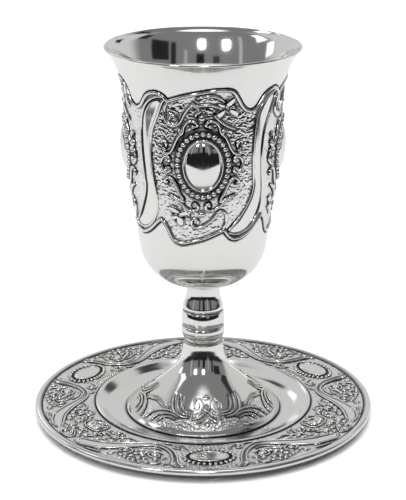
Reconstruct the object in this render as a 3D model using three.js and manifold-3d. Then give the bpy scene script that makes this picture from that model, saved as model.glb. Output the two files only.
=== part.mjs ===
// Kiddush cup: a silver wine cup on a baluster stem and a trumpet foot, standing in its own saucer.
// Units are millimetres and +Z is up. The origin lies on the table, on the axis of the cup.
// An azimuth is in degrees, 0 at the front (-Y) and growing towards +X.
import * as THREE from "three";
import { mergeVertices } from "three/addons/utils/BufferGeometryUtils.js";
import Module from "manifold-3d";

const wasm = await Module();
wasm.setup();

// ---- Driving dimensions ----

const JOINT_GAP = 0.3; // between pieces that touch
const EMBED = 0.6; // how deep applied relief reaches into the wall below it

// Bowl, [radius, height] of its plain outer wall from the rim down to the stem
const BOWL_WALL = [
  [38.0, 151.0],
  [35.3, 146.8],
  [33.0, 141.6],
  [31.6, 136.2],
  [30.9, 128.0],
  [30.4, 112.0],
  [29.1, 98.0],
  [27.7, 88.0],
  [26.7, 80.0],
  [25.9, 74.0],
  [24.4, 68.0],
  [21.4, 62.8],
  [17.0, 58.6],
  [11.5, 55.9],
  [7.1, 54.8],
];
const BOWL_SEAT = 54.8;
const WALL_THICKNESS = 1.1;
const BOWL_FLOOR = 57.2;
const BOWL_ROUND = 36; // facets of its plain zones; the carved band has twice as many
const INSIDE_HEIGHTS = [60, 66, 80, 100, 122, 138, 144.5];
const FLOOR_RADIUS = 12; // flat middle of its inside
const RIM_INNER_DROP = 0.3; // how far the rim's edges lie below its crest
const RIM_OUTER_DROP = 0.6;
// Plain rings above and below the band: [height, how far they follow its lines, times BOWL_ROUND]
const LIP_RINGS = [
  [148.8, 0, 1],
  [145.6, 0.3, 1],
  [142.8, 0.65, 2],
];
const UNDER_RINGS = [
  [76.4, 0.65, 2],
  [72.4, 0.3, 1],
  [68, 0, 1],
  [64.2, 0, 1],
  [60.2, 0, 1],
  [56.8, 0, 1],
];

// Carved band of the bowl: four alike panels parted by four ribbons
const PANELS = 4;
const PANEL_STEP = 360 / PANELS;
const PANEL_CENTRE = -1.75; // azimuth of the point that each panel turns about
const BAND_MIDDLE = 110;
const BAND_REACH = 28; // from the middle to where the wires turn, above and below
const WIRE_PROUD = 0.55;
const WIRE_WIDTH = 1.1;
const GROUND_SUNK = 0.25;
const GUTTER_SUNK = 0.35;
const RIBBON_LINES = 7; // grid lines along each ribbon: two wires, each with two edges, and a middle
const PANEL_LINES = 11;
const PANEL_ROWS = 7;
// Height of the band's upper wire by azimuth: valley, arch over the ribbon, notch, long rise, drop
const UPPER_WIRE = [
  [-57, 131.9],
  [-46, 135.8],
  [-34, 138.6],
  [-25.5, 135.4],
  [-10, 138.5],
  [12, 140.2],
  [21, 139.6],
  [25.5, 135.6],
  [33, 131.9],
];
// Azimuth of the panel's left edge by height
const PANEL_EDGE = [
  [79, -45],
  [88, -41.5],
  [96, -38.9],
  [107, -40.8],
  [116, -42.3],
  [124, -40.2],
  [131, -33],
  [136, -27.5],
  [141, -24],
];

// Medallion in the middle of each panel: [half width, half height, proud] of its rings, outside in
const MEDALLION_MIDDLE = 111.3;
const MEDALLION_FACETS = 24;
const MEDALLION_RINGS = [
  [10.9, 13.6, 0.45],
  [9.6, 12.3, 1.15],
  [8.3, 11.0, 0.6],
  [7.5, 10.1, 1.05],
  [5.6, 7.6, 1.55],
  [2.9, 4.0, 1.85],
];
const MEDALLION_TOP = 1.95;
const CREST_REACH = 4.6; // scrolls above and below the oval
const CREST_POINT = 12; // the higher, the narrower the scrolls
const WING_REACH = 4.2; // scrolls on either side of it
const WING_POINT = 16;

// Stem, [radius, height] from the bowl down to the foot: neck, two rings and a short taper
const STEM_TOP = BOWL_SEAT - JOINT_GAP;
const STEM_SEAT = 30.8;
const STEM_ROUND = 20;
const STEM_PROFILE = [
  [7.0, STEM_TOP],
  [6.75, 52.0],
  [7.0, 49.6],
  [7.9, 46.9],
  [8.3, 45.2],
  [8.05, 43.7],
  [8.7, 41.6],
  [8.8, 39.6],
  [8.35, 37.6],
  [8.8, 36.0],
  [8.5, 33.9],
  [7.7, 31.9],
  [7.7, STEM_SEAT],
];

// Foot, [radius, height] of its outer face from the stem down to its edge
const FOOT_TOP = STEM_SEAT - JOINT_GAP;
const FOOT_REST = 1.5;
const FOOT_RADIUS = 31.1;
const FOOT_EDGE_HEIGHT = 1.6;
const FOOT_SHEET = 1.2;
const FOOT_ROUND = 24; // facets of its plain zones; the carved skirt has twice as many
const FOOT_TRUMPET = [
  [8.0, FOOT_TOP],
  [8.3, 26.8],
  [9.6, 22.2],
  [12.6, 17.7],
];
const FOOT_FACE = [
  [12.6, 17.7],
  [17, 13.7],
  [21, 10.4],
  [25.4, 7.1],
  [29, 4.7],
  [31.1, 3.1],
];
const FOOT_HOLLOW = [24.5, 18, 12]; // radii of the rings inside it
const HOLLOW_TOP_RADIUS = 6.4;
const HOLLOW_SHOULDER = 22;
const HOLLOW_TOP = 25;
const SKIRT_END = 28.2; // where the stippled skirt turns down to the edge
const FOOT_MOTIFS = 3; // pairs of volutes around the skirt, with an arch halfway between them
const FOOT_STEP = 360 / FOOT_MOTIFS;
// Radius of the raised line above the stippled skirt, by azimuth from a pair of volutes to an arch
const SKIRT_LINE = [
  [0, 20.4],
  [12, 24.2],
  [22, 23.6],
  [33, 18.8],
  [42, 22.8],
  [51, 21.4],
  [60, 20.9],
];
const SKIRT_PROUD = 0.5;
const SKIRT_STEP = 1.1;
const FOOT_TURN = 4; // azimuth of the front pair of volutes

// Saucer, [radius, height]: its upper face from the edge to the floor, then its lower face
const SAUCER_FLOOR = FOOT_REST - JOINT_GAP;
const SAUCER_ROUND = 44;
const SAUCER_UPPER = [
  [68.4, 4.6],
  [67.5, 5.1],
  [66.2, 5.0],
  [65.5, 4.6],
  [43.8, 4.6],
  [42.8, 4.9],
  [41.2, 4.2],
  [39.0, 2.7],
  [36.4, 1.6],
  [33.5, SAUCER_FLOOR],
];
const SAUCER_LOWER = [
  [34.6, 0],
  [38.4, 1.2],
  [42.6, 3.3],
  [66.6, 3.6],
  [67.4, 2.8],
  [68.4, 2.8],
];
const BORDER_HEIGHT = 4.6;
const OVALS = 3; // ovals on the border, and a fruit cluster halfway between them
const OVAL_STEP = 360 / OVALS;
const OVAL_RADIUS = 55;
const OVAL_FACETS = 14;
const OVAL_RINGS = [
  [9.6, 7.0, 0.15],
  [8.4, 5.8, 0.8],
  [7.2, 4.6, 0.4],
  [4.4, 2.6, 0.85],
];
const OVAL_TOP = 1.0;
// Ribbon of the border, [azimuth from the oval, radius, half width]: a V with its point near the well
const BORDER_RIBBON = [
  [11.5, 63.5, 0.8],
  [14, 58, 0.9],
  [17, 52, 0.9],
  [22, 48, 1.1],
  [30, 49.4, 1.3],
  [38, 54.2, 1.7],
  [46, 58.6, 2.3],
  [54, 60.8, 2.2],
];
const RIBBON_PROUD = 0.5;
const RIBBON_STEPS = 9;
const RIBBON_SHOULDER = 0.75; // half width of its top, as a share of its foot's
// Fruit and flowers, [azimuth from the oval, radius, half width, half depth, proud, petals]
const BORDER_MOUNDS = [
  [27.5, 56.8, 5.2, 4.8, 1.1, 4],
  [44, 50.4, 3.6, 2.8, 0.9, 3],
];
const CLUSTER_MOUND = [OVAL_STEP / 2, 52.8, 6.4, 5.2, 1.3, 4];
const PETAL_FACETS = 3;
const PETAL_SWELL = 0.14; // how far the petals stand out of a mound's oval
const MOUND_EDGE = 0.2; // how proud a mound's edge is
const MOUND_SHOULDER = 0.62; // size of its highest ring
const MOUND_DIMPLE = 0.75; // height of its middle, as a share of that ring's

const silver = (name, shade) =>
  new THREE.MeshStandardMaterial({ name, color: shade, metalness: 1, roughness: 0.2 });

// ---- Curves ----

const DEGREE = Math.PI / 180;

// A smooth line through [x, y] points, sorted by x; outside them it keeps its end values.
function smoothLine(points) {
  const slope = points.map((_, i) => {
    const before = points[Math.max(i - 1, 0)];
    const after = points[Math.min(i + 1, points.length - 1)];
    return (after[1] - before[1]) / (after[0] - before[0]);
  });
  return (x) => {
    if (x <= points[0][0]) return points[0][1];
    if (x >= points.at(-1)[0]) return points.at(-1)[1];
    const i = points.findIndex((point) => point[0] > x) - 1;
    const step = points[i + 1][0] - points[i][0];
    const t = (x - points[i][0]) / step;
    const rise = t * t * (3 - 2 * t);
    const bend = t * (1 - t) * step * (slope[i] * (1 - t) - slope[i + 1] * t);
    return THREE.MathUtils.lerp(points[i][1], points[i + 1][1], rise) + bend;
  };
}

const wrap = (azimuth, low, period) => low + THREE.MathUtils.euclideanModulo(azimuth - low, period);
const byHeight = (profile) => smoothLine(profile.map(([r, z]) => [z, r]).reverse());

const bowlRadius = byHeight(BOWL_WALL);
const footHeight = smoothLine(FOOT_FACE);
const upperWireShape = smoothLine(UPPER_WIRE);
const panelLeft = smoothLine(PANEL_EDGE);
const skirtLineShape = smoothLine(SKIRT_LINE);

// Each panel looks the same after half a turn about its centre, so its lower and right lines follow.
const upperWire = (azimuth) => upperWireShape(wrap(azimuth, UPPER_WIRE[0][0], PANEL_STEP));
const lowerWire = (azimuth) => 2 * BAND_MIDDLE - upperWire(2 * PANEL_CENTRE - azimuth);
const panelRight = (z) => 2 * PANEL_CENTRE - panelLeft(2 * BAND_MIDDLE - z);

function skirtLine(azimuth) {
  const turn = wrap(azimuth - FOOT_TURN, -FOOT_STEP / 2, FOOT_STEP);
  return skirtLineShape(Math.abs(turn));
}

// ---- Meshes and solids ----

const polar = (azimuth, radius, z) =>
  new THREE.Vector3(radius * Math.sin(azimuth * DEGREE), -radius * Math.cos(azimuth * DEGREE), z);

const pole = (z) => [new THREE.Vector3(0, 0, z)];
const circle = (count, radius, z, first = 0) =>
  Array.from({ length: count }, (_, i) => polar(first + (360 * i) / count, radius, z));

// Joins a stack of closed rings into one closed surface. A ring has as many points as its neighbour,
// or twice or half as many; the first and last rings are single points.
function skin(rings) {
  const points = rings.flat();
  const triangles = [];
  let first = 0;
  for (let k = 0; k + 1 < rings.length; k++) {
    const next = first + rings[k].length;
    const sizes = [rings[k].length, rings[k + 1].length];
    const steps = Math.max(...sizes);
    const at = (start, size, i) => start + (Math.floor((i * size) / steps) % size);
    for (let i = 0; i < steps; i++) {
      const [a, aNext] = [at(first, sizes[0], i), at(first, sizes[0], i + 1)];
      const [b, bNext] = [at(next, sizes[1], i), at(next, sizes[1], i + 1)];
      if (b !== bNext) triangles.push(a, b, bNext);
      if (a !== aNext) triangles.push(a, bNext, aNext);
    }
    first = next;
  }
  const surface = new THREE.BufferGeometry().setFromPoints(points).setIndex(triangles);
  return mergeVertices(surface, 1e-5);
}

const signedVolume = (points, triangles) => {
  let sum = 0;
  const [a, b, c] = [0, 1, 2].map(() => new THREE.Vector3());
  for (let i = 0; i < triangles.length; i += 3) {
    a.fromArray(points, 3 * triangles[i]);
    b.fromArray(points, 3 * triangles[i + 1]);
    c.fromArray(points, 3 * triangles[i + 2]);
    sum += a.dot(b.cross(c)) / 6;
  }
  return sum;
};

// A closed surface as a solid, with its faces pointing out whichever way its rings run.
function solid(surface) {
  const vertProperties = new Float32Array(surface.attributes.position.array);
  const triVerts = new Uint32Array(surface.index.array);
  if (signedVolume(vertProperties, triVerts) < 0) triVerts.reverse();
  return new wasm.Manifold(new wasm.Mesh({ numProp: 3, vertProperties, triVerts }));
}

function namedMesh(name, body, shade) {
  const made = body.getMesh();
  const surface = new THREE.BufferGeometry();
  surface.setAttribute("position", new THREE.BufferAttribute(made.vertProperties, 3));
  surface.setIndex(new THREE.BufferAttribute(made.triVerts, 1));
  surface.computeVertexNormals();
  const mesh = new THREE.Mesh(surface, silver(name + " silver", shade));
  mesh.name = name;
  return mesh;
}

// A low relief of closed rings on a surface: place(across, up, proud) puts its points there.
function relief(rings, topProud, place) {
  const base = rings[0].map(([across, up]) => place(across, up, -EMBED));
  const body = rings.map((ring) => ring.map(([across, up, proud]) => place(across, up, proud)));
  return solid(skin([[place(0, 0, -EMBED)], base, ...body, [place(0, 0, topProud)]]));
}

const around = (count, make) =>
  Array.from({ length: count }, (_, i) => make((2 * Math.PI * i) / count));

// ---- Bowl ----

// One row of the carved band, at a share of the way down it. height(azimuth) is where the row runs; its
// points lie on lines that follow the ribbons' edges, so that wires and gutters stay sharp.
function bandRow(height, share, proudAt) {
  const row = [];
  const middleZ = BAND_MIDDLE + BAND_REACH * (1 - 2 * share);
  for (let panel = 0; panel < PANELS; panel++) {
    for (let line = 0; line < RIBBON_LINES + PANEL_LINES; line++) {
      let azimuth = lineAzimuth(line, middleZ);
      let z = height(azimuth);
      for (let pass = 0; pass < 3; pass++) {
        azimuth = lineAzimuth(line, z);
        z = height(azimuth);
      }
      row.push(polar(azimuth + panel * PANEL_STEP, bowlRadius(z) + proudAt(line), z));
    }
  }
  return row;
}

// Azimuth of a grid line at a height: the first lines follow the ribbon, the others part the panel.
function lineAzimuth(line, z) {
  const ribbonLeft = panelRight(z);
  const ribbonRight = panelLeft(z) + PANEL_STEP;
  const wire = WIRE_WIDTH / (bowlRadius(z) * DEGREE);
  const lines = [
    ribbonLeft - wire,
    ribbonLeft,
    ribbonLeft + wire,
    (ribbonLeft + ribbonRight) / 2,
    ribbonRight - wire,
    ribbonRight,
    ribbonRight + wire,
  ];
  if (line < RIBBON_LINES) return lines[line];
  const share = (line - RIBBON_LINES + 1) / (PANEL_LINES + 1);
  return THREE.MathUtils.lerp(lines.at(-1), lines[0] + PANEL_STEP, share);
}

const onWire = (line) => line === 1 || line === 5;
const inGutter = (line) => line > 1 && line < 5;

function groundProud(line) {
  if (onWire(line)) return WIRE_PROUD;
  return inGutter(line) ? -GUTTER_SUNK : -GROUND_SUNK;
}

// A plain ring of the bowl next to the carved band. Its points share the band's lines, and spread out
// evenly as the ring lies farther off: share is 1 at the band and 0 where they are even.
function bowlRing(count, radius, z, share = 0) {
  const lines = RIBBON_LINES + PANEL_LINES;
  const first = lineAzimuth(0, BAND_MIDDLE);
  const nearZ = THREE.MathUtils.clamp(z, BAND_MIDDLE - BAND_REACH, BAND_MIDDLE + BAND_REACH);
  return Array.from({ length: count }, (_, i) => {
    const column = (i * lines * PANELS) / count;
    const drawn = lineAzimuth(column % lines, nearZ) + Math.floor(column / lines) * PANEL_STEP;
    const even = first + (360 * i) / count;
    return polar(THREE.MathUtils.lerp(even, drawn, share), radius, z);
  });
}

const insideRing = (z) => bowlRing(BOWL_ROUND, bowlRadius(z) - WALL_THICKNESS, z);
const outsideRing = ([z, share, round]) => bowlRing(round * BOWL_ROUND, bowlRadius(z), z, share);

function bowlRings() {
  const flush = () => 0;
  const wire = () => WIRE_PROUD;
  const [rimRadius, rimHeight] = BOWL_WALL[0];
  const rings = [pole(BOWL_FLOOR), bowlRing(BOWL_ROUND, FLOOR_RADIUS, BOWL_FLOOR)];
  rings.push(...INSIDE_HEIGHTS.map(insideRing));
  rings.push(bowlRing(BOWL_ROUND, rimRadius - WALL_THICKNESS, rimHeight - RIM_INNER_DROP));
  rings.push(bowlRing(BOWL_ROUND, rimRadius - WALL_THICKNESS / 2, rimHeight));
  rings.push(bowlRing(BOWL_ROUND, rimRadius, rimHeight - RIM_OUTER_DROP));
  rings.push(...LIP_RINGS.map(outsideRing));
  rings.push(bandRow((azimuth) => upperWire(azimuth) + WIRE_WIDTH, 0, flush));
  rings.push(bandRow(upperWire, 0, wire));
  for (let row = 0; row <= PANEL_ROWS; row++) {
    const share = row / PANEL_ROWS;
    const height = (azimuth) =>
      THREE.MathUtils.lerp(upperWire(azimuth) - WIRE_WIDTH, lowerWire(azimuth) + WIRE_WIDTH, share);
    rings.push(bandRow(height, share, groundProud));
  }
  rings.push(bandRow(lowerWire, 1, wire));
  rings.push(bandRow((azimuth) => lowerWire(azimuth) - WIRE_WIDTH, 1, flush));
  rings.push(...UNDER_RINGS.map(outsideRing));
  rings.push(bowlRing(BOWL_ROUND, BOWL_WALL.at(-1)[0], BOWL_SEAT), pole(BOWL_SEAT));
  return rings;
}

function medallion(panel) {
  const middle = panel * PANEL_STEP;
  const reach = bowlRadius(MEDALLION_MIDDLE) * DEGREE;
  const place = (across, up, proud) => {
    const z = MEDALLION_MIDDLE + up;
    return polar(middle + across / reach, bowlRadius(z) + proud, z);
  };
  const rings = MEDALLION_RINGS.map(([halfWidth, halfHeight, proud], ring) =>
    around(MEDALLION_FACETS, (turn) => {
      const wing = ring ? 0 : WING_REACH * Math.abs(Math.cos(turn)) ** WING_POINT;
      const crest = ring ? 0 : CREST_REACH * Math.abs(Math.sin(turn)) ** CREST_POINT;
      return [(halfWidth + wing) * Math.cos(turn), (halfHeight + crest) * Math.sin(turn), proud];
    }),
  );
  return relief(rings, MEDALLION_TOP, place);
}

function bowl() {
  let body = solid(skin(bowlRings()));
  for (let panel = 0; panel < PANELS; panel++) body = body.add(medallion(panel));
  return body;
}

// ---- Stem and foot ----

function stem() {
  const rings = STEM_PROFILE.map(([radius, z]) => circle(STEM_ROUND, radius, z));
  return solid(skin([pole(STEM_TOP), ...rings, pole(STEM_SEAT)]));
}

function skirtRow(offset, proud) {
  const count = 2 * FOOT_ROUND;
  return Array.from({ length: count }, (_, i) => {
    const azimuth = FOOT_TURN + (360 * i) / count;
    const radius = skirtLine(azimuth) + offset;
    return polar(azimuth, radius, footHeight(radius) + proud);
  });
}

function foot() {
  const ring = (radius, z) => circle(FOOT_ROUND, radius, z, FOOT_TURN);
  const rings = [pole(FOOT_TOP), ...FOOT_TRUMPET.map(([radius, z]) => ring(radius, z))];
  rings.push(skirtRow(-SKIRT_STEP, 0), skirtRow(0, SKIRT_PROUD), skirtRow(SKIRT_STEP, 0));
  rings.push(ring(SKIRT_END, footHeight(SKIRT_END)));
  rings.push(ring(FOOT_RADIUS, FOOT_REST + FOOT_EDGE_HEIGHT), ring(FOOT_RADIUS, FOOT_REST));
  rings.push(ring(FOOT_RADIUS - FOOT_SHEET, FOOT_REST));
  for (const radius of FOOT_HOLLOW) {
    rings.push(ring(radius, footHeight(radius + FOOT_SHEET) - FOOT_SHEET));
  }
  rings.push(ring(HOLLOW_TOP_RADIUS, HOLLOW_SHOULDER), pole(HOLLOW_TOP));
  return solid(skin(rings));
}

// ---- Saucer ----

const onBorder = (azimuth, radius, proud) => polar(azimuth, radius, BORDER_HEIGHT + proud);

function borderOval(azimuth) {
  const place = (across, up, proud) =>
    onBorder(azimuth + across / (OVAL_RADIUS * DEGREE), OVAL_RADIUS + up, proud);
  const rings = OVAL_RINGS.map(([halfWidth, halfDepth, proud]) =>
    around(OVAL_FACETS, (turn) => [halfWidth * Math.cos(turn), halfDepth * Math.sin(turn), proud]),
  );
  return relief(rings, OVAL_TOP, place);
}

// A mound with rounded petals.
function borderMound(azimuth, [, radius, halfWidth, halfDepth, proud, petals]) {
  const place = (across, up, height) =>
    onBorder(azimuth + across / (radius * DEGREE), radius + up, height);
  const ring = (scale, height) =>
    around(PETAL_FACETS * petals, (turn) => {
      const size = scale * (1 + PETAL_SWELL * Math.cos(petals * turn));
      return [size * halfWidth * Math.cos(turn), size * halfDepth * Math.sin(turn), height];
    });
  return relief([ring(1, MOUND_EDGE), ring(MOUND_SHOULDER, proud)], MOUND_DIMPLE * proud, place);
}

// The V-shaped ribbon on one side of an oval; side is 1 or -1.
function borderRibbon(azimuth, side) {
  const line = new THREE.CatmullRomCurve3(BORDER_RIBBON.map((point) => new THREE.Vector3(...point)));
  const rings = [];
  for (let step = 0; step <= RIBBON_STEPS; step++) {
    const [turn, radius, halfWidth] = line.getPoint(step / RIBBON_STEPS).toArray();
    const along = line.getTangent(step / RIBBON_STEPS);
    const arc = along.x * DEGREE * radius;
    const size = Math.hypot(arc, along.y);
    const section = [
      [-1, -EMBED],
      [-RIBBON_SHOULDER, RIBBON_PROUD],
      [RIBBON_SHOULDER, RIBBON_PROUD],
      [1, -EMBED],
    ];
    const ring = section.map(([share, proud]) => {
      const outward = (share * halfWidth * arc) / size;
      const sideways = (-share * halfWidth * along.y) / size / (radius * DEGREE);
      return onBorder(azimuth + side * (turn + sideways), radius + outward, proud);
    });
    rings.push(ring);
  }
  const centre = (ring) => [new THREE.Vector3().addVectors(ring[0], ring[2]).multiplyScalar(0.5)];
  return solid(skin([centre(rings[0]), ...rings, centre(rings.at(-1))]));
}

function saucer() {
  const rings = [pole(SAUCER_FLOOR)];
  for (const [radius, z] of [...SAUCER_UPPER].reverse()) rings.push(circle(SAUCER_ROUND, radius, z));
  for (const [radius, z] of [...SAUCER_LOWER].reverse()) rings.push(circle(SAUCER_ROUND, radius, z));
  rings.push(pole(0));
  let body = solid(skin(rings));
  for (let oval = 0; oval < OVALS; oval++) {
    const middle = oval * OVAL_STEP;
    body = body.add(borderOval(middle));
    body = body.add(borderMound(middle + CLUSTER_MOUND[0], CLUSTER_MOUND));
    for (const side of [1, -1]) {
      body = body.add(borderRibbon(middle, side));
      for (const mound of BORDER_MOUNDS) {
        body = body.add(borderMound(middle + side * mound[0], mound));
      }
    }
  }
  return body;
}

// ---- The cup in its saucer ----

const kiddushCup = new THREE.Group();
kiddushCup.add(namedMesh("bowl", bowl(), 0xdedede));
kiddushCup.add(namedMesh("stem", stem(), 0xd6d6d6));
kiddushCup.add(namedMesh("foot", foot(), 0xcfcfcf));
kiddushCup.add(namedMesh("saucer", saucer(), 0xc6c6c6));

export default kiddushCup;
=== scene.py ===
# %% [markdown]
# A kiddush cup: a silver wine cup on a short stem and a trumpet foot, standing in its own saucer.
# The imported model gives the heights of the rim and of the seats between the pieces. This script holds
# the profiles and the drawn ornament, and gives the silver its fine relief, its blackened recesses
# and its polish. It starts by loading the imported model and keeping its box.

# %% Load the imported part
import math

import bpy
import numpy as np
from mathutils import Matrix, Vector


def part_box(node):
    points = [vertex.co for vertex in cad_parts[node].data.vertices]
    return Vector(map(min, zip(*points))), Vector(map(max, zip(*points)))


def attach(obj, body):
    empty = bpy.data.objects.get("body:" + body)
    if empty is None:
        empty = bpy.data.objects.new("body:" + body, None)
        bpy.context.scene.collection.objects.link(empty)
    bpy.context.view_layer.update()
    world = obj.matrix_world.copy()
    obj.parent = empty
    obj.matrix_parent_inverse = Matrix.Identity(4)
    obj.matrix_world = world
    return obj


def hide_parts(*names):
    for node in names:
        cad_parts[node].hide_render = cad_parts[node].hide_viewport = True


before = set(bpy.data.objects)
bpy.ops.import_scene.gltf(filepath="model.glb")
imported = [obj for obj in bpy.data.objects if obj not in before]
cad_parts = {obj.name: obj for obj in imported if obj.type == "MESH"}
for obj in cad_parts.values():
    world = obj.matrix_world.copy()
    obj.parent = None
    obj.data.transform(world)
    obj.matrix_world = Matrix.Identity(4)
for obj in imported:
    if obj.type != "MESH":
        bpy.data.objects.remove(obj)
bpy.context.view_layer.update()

MM = 0.001  # the frame is in metres, and the sizes below are in millimetres
print("nodes:", ", ".join(sorted(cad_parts)))

# %% [markdown]
# The camera stands well back with a long lens, a little above the rim, and looks down at the cup,
# so the mouth shows as a flat ellipse and the saucer opens out below. The lens could be shorter and
# nearer, but then the mouth would open too wide for the saucer, so the long one was chosen.

# %% Camera
CAMERA_BACK = 0.6174
CAMERA_HEIGHT = 0.2758
CAMERA_PITCH = 18.564  # degrees below the horizon

camera_data = bpy.data.cameras.new("camera")
camera_data.lens = 118.2
camera_data.sensor_width = 36
camera_data.clip_end = 20
camera = bpy.data.objects.new("camera", camera_data)
camera.location = (0, -CAMERA_BACK, CAMERA_HEIGHT)
camera.rotation_euler = (math.radians(90 - CAMERA_PITCH), 0, 0)
bpy.context.scene.collection.objects.link(camera)
bpy.context.scene.camera = camera
bpy.context.scene.view_settings.view_transform = "Standard"
print("camera", round(CAMERA_BACK / MM), "mm back,", round(CAMERA_HEIGHT / MM), "mm up")

# %% [markdown]
# Polished silver has hardly a colour of its own: it shows the room. The room here is a white table
# that ends in front of the cup, a dim room on the camera's side with lamps, windows and dark stands,
# pale walls behind the cup and a bright ceiling. A ring of real lamps and cards could stand around the cup,
# but they would show from behind, so the world paints the room by direction instead.

# %% Helpers that wire up nodes
def link(tree, value, socket):
    """Feeds a socket from another one, or sets it to a constant."""
    if isinstance(value, bpy.types.NodeSocket):
        tree.links.new(value, socket)
    else:
        socket.default_value = value


def sums(tree, operation, *values):
    """A Math node with its inputs filled in."""
    node = tree.nodes.new("ShaderNodeMath")
    node.operation = operation
    for value, socket in zip(values, node.inputs):
        link(tree, value, socket)
    return node.outputs[0]


def ramp(tree, value, low, high, to_low=0.0, to_high=1.0):
    """A smooth step of a value from low to high."""
    node = tree.nodes.new("ShaderNodeMapRange")
    node.interpolation_type = "SMOOTHSTEP"
    for socket, given in zip(node.inputs, (value, low, high, to_low, to_high)):
        link(tree, given, socket)
    return node.outputs[0]


def blend_values(tree, share, first, second):
    node = tree.nodes.new("ShaderNodeMix")
    link(tree, share, node.inputs[0])
    link(tree, first, node.inputs[2])
    link(tree, second, node.inputs[3])
    return node.outputs[0]


# %% World: the room by direction
# [azimuth from the camera's side, elevation, half width, half height, brightness]; all but the
# last are in degrees
ROOM_PATCHES = [
    [2, 38, 4.5, 4.5, 16.0],
    [-36, 36, 5.0, 4.5, 16.0],
    [-93, 41, 9, 9, 1.8],
    [-107, 22, 6, 6, 1.6],
    [-58, 24, 2.5, 20, 0.5],
    [-20, 14, 5, 11, 0.05],
    [4, 15, 6, 13, 0.01],
    [26, 16, 2.5, 15, 0.42],
    [45, 20, 4, 18, 0.02],
    [66, 28, 14, 10, 0.02],
    [98, 44, 10, 8, 0.03],
    [123, 60, 12, 7, 0.03],
    [146, 28, 6, 6, 0.04],
    [-160, 41, 8, 5, 0.04],
    [-160, 27, 5, 4, 1.8],
]
DARK_LOW = 0.015
DIM_ROOM = 0.22
PALE_WALLS = 0.68
CEILING = 1.8
BACKDROP = 1.1  # the room as the camera sees it past the cup

world = bpy.data.worlds.new("room")
bpy.context.scene.world = world
world.use_nodes = True
room = world.node_tree
room.nodes.clear()
direction = room.nodes.new("ShaderNodeTexCoord").outputs["Generated"]
parts = room.nodes.new("ShaderNodeSeparateXYZ")
room.links.new(direction, parts.inputs[0])
x, y, z = parts.outputs
azimuth = sums(room, "DEGREES", sums(room, "ARCTAN2", x, sums(room, "MULTIPLY", y, -1.0)))
elevation = sums(room, "DEGREES", sums(room, "ARCSINE", z))
walls = ramp(room, sums(room, "ABSOLUTE", azimuth), 96.0, 122.0)
low = ramp(room, elevation, 9.0, 4.0)
light = blend_values(room, low, DIM_ROOM, DARK_LOW)
light = blend_values(room, walls, light, PALE_WALLS)
light = blend_values(room, ramp(room, elevation, 71.0, 78.0), light, CEILING)
for middle, height, half_width, half_height, brightness in ROOM_PATCHES:
    turn = sums(room, "WRAP", sums(room, "SUBTRACT", azimuth, float(middle)), 180.0, -180.0)
    across = ramp(room, sums(room, "ABSOLUTE", turn), half_width + 1.0, half_width - 1.0)
    upward = sums(room, "ABSOLUTE", sums(room, "SUBTRACT", elevation, float(height)))
    upward = ramp(room, upward, half_height + 1.0, half_height - 1.0)
    light = blend_values(room, sums(room, "MULTIPLY", across, upward), light, brightness)
seen = room.nodes.new("ShaderNodeLightPath").outputs["Is Camera Ray"]
light = blend_values(room, seen, light, BACKDROP)
sky = room.nodes.new("ShaderNodeBackground")
room.links.new(light, sky.inputs["Strength"])
sky.inputs["Color"].default_value = (1, 1, 1, 1)
room.links.new(sky.outputs[0], room.nodes.new("ShaderNodeOutputWorld").inputs[0])
print(len(ROOM_PATCHES), "lamps, windows and dark stands in the room")

# %% [markdown]
# The table is plain and pale. One wide soft light above it stands in for the studio's softboxes: it
# lights the table, and is kept out of reflections, because a real one would wash out the silver.
# The table is in two sheets. The upper one is round in front of the cup and runs on behind it, and the
# silver shows it. The lower one fills the front for the eye alone, so that the polished faces turn dark
# where they look past a table's edge.

# %% Table and studio light
TABLE_EDGE = 0.275  # in front of the cup's axis
TABLE_SIDE = 0.38  # half width of its rounded front
TABLE_REACH = 4.0
FRONT_DROP = 0.0002  # how far the front sheet lies below the table's top
TABLE_SHADE = 0.92
SILVERED_SHADE = 0.515  # the table as the silver shows it


def table_sheet(name, corners, height):
    mesh = bpy.data.meshes.new(name)
    mesh.from_pydata([(x, y, height) for x, y in corners], [], [tuple(range(len(corners)))])
    sheet = bpy.data.objects.new(name, mesh)
    bpy.context.scene.collection.objects.link(sheet)
    paper = bpy.data.materials.new(name + " paper")
    paper.use_nodes = True
    surface = paper.node_tree.nodes["Principled BSDF"]
    surface.inputs["Roughness"].default_value = 0.9
    surface.inputs["Specular IOR Level"].default_value = 0
    tree = paper.node_tree
    glossy = tree.nodes.new("ShaderNodeLightPath").outputs["Is Glossy Ray"]
    tint = tree.nodes.new("ShaderNodeMix")
    tint.data_type = "RGBA"
    tree.links.new(glossy, tint.inputs["Factor"])
    for socket, shade in ((6, TABLE_SHADE), (7, SILVERED_SHADE)):
        tint.inputs[socket].default_value = (shade, shade, shade, 1)
    tree.links.new(tint.outputs[2], surface.inputs["Base Color"])
    mesh.materials.append(paper)
    return sheet


front_edge = [
    (TABLE_SIDE * math.sin(turn), -TABLE_EDGE * math.cos(turn))
    for turn in np.radians(np.arange(-90, 91, 3))
]
right_side, left_side = (TABLE_REACH, 0), (-TABLE_REACH, 0)
back_edge = [(TABLE_REACH, TABLE_REACH), (-TABLE_REACH, TABLE_REACH)]
near_edge = [(-TABLE_REACH, -TABLE_REACH), (TABLE_REACH, -TABLE_REACH)]
table_sheet("table_top", front_edge + [right_side] + back_edge + [left_side], 0)
table_front = table_sheet("table_front", near_edge + [right_side, left_side], -FRONT_DROP)
table_front.visible_glossy = False

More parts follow.
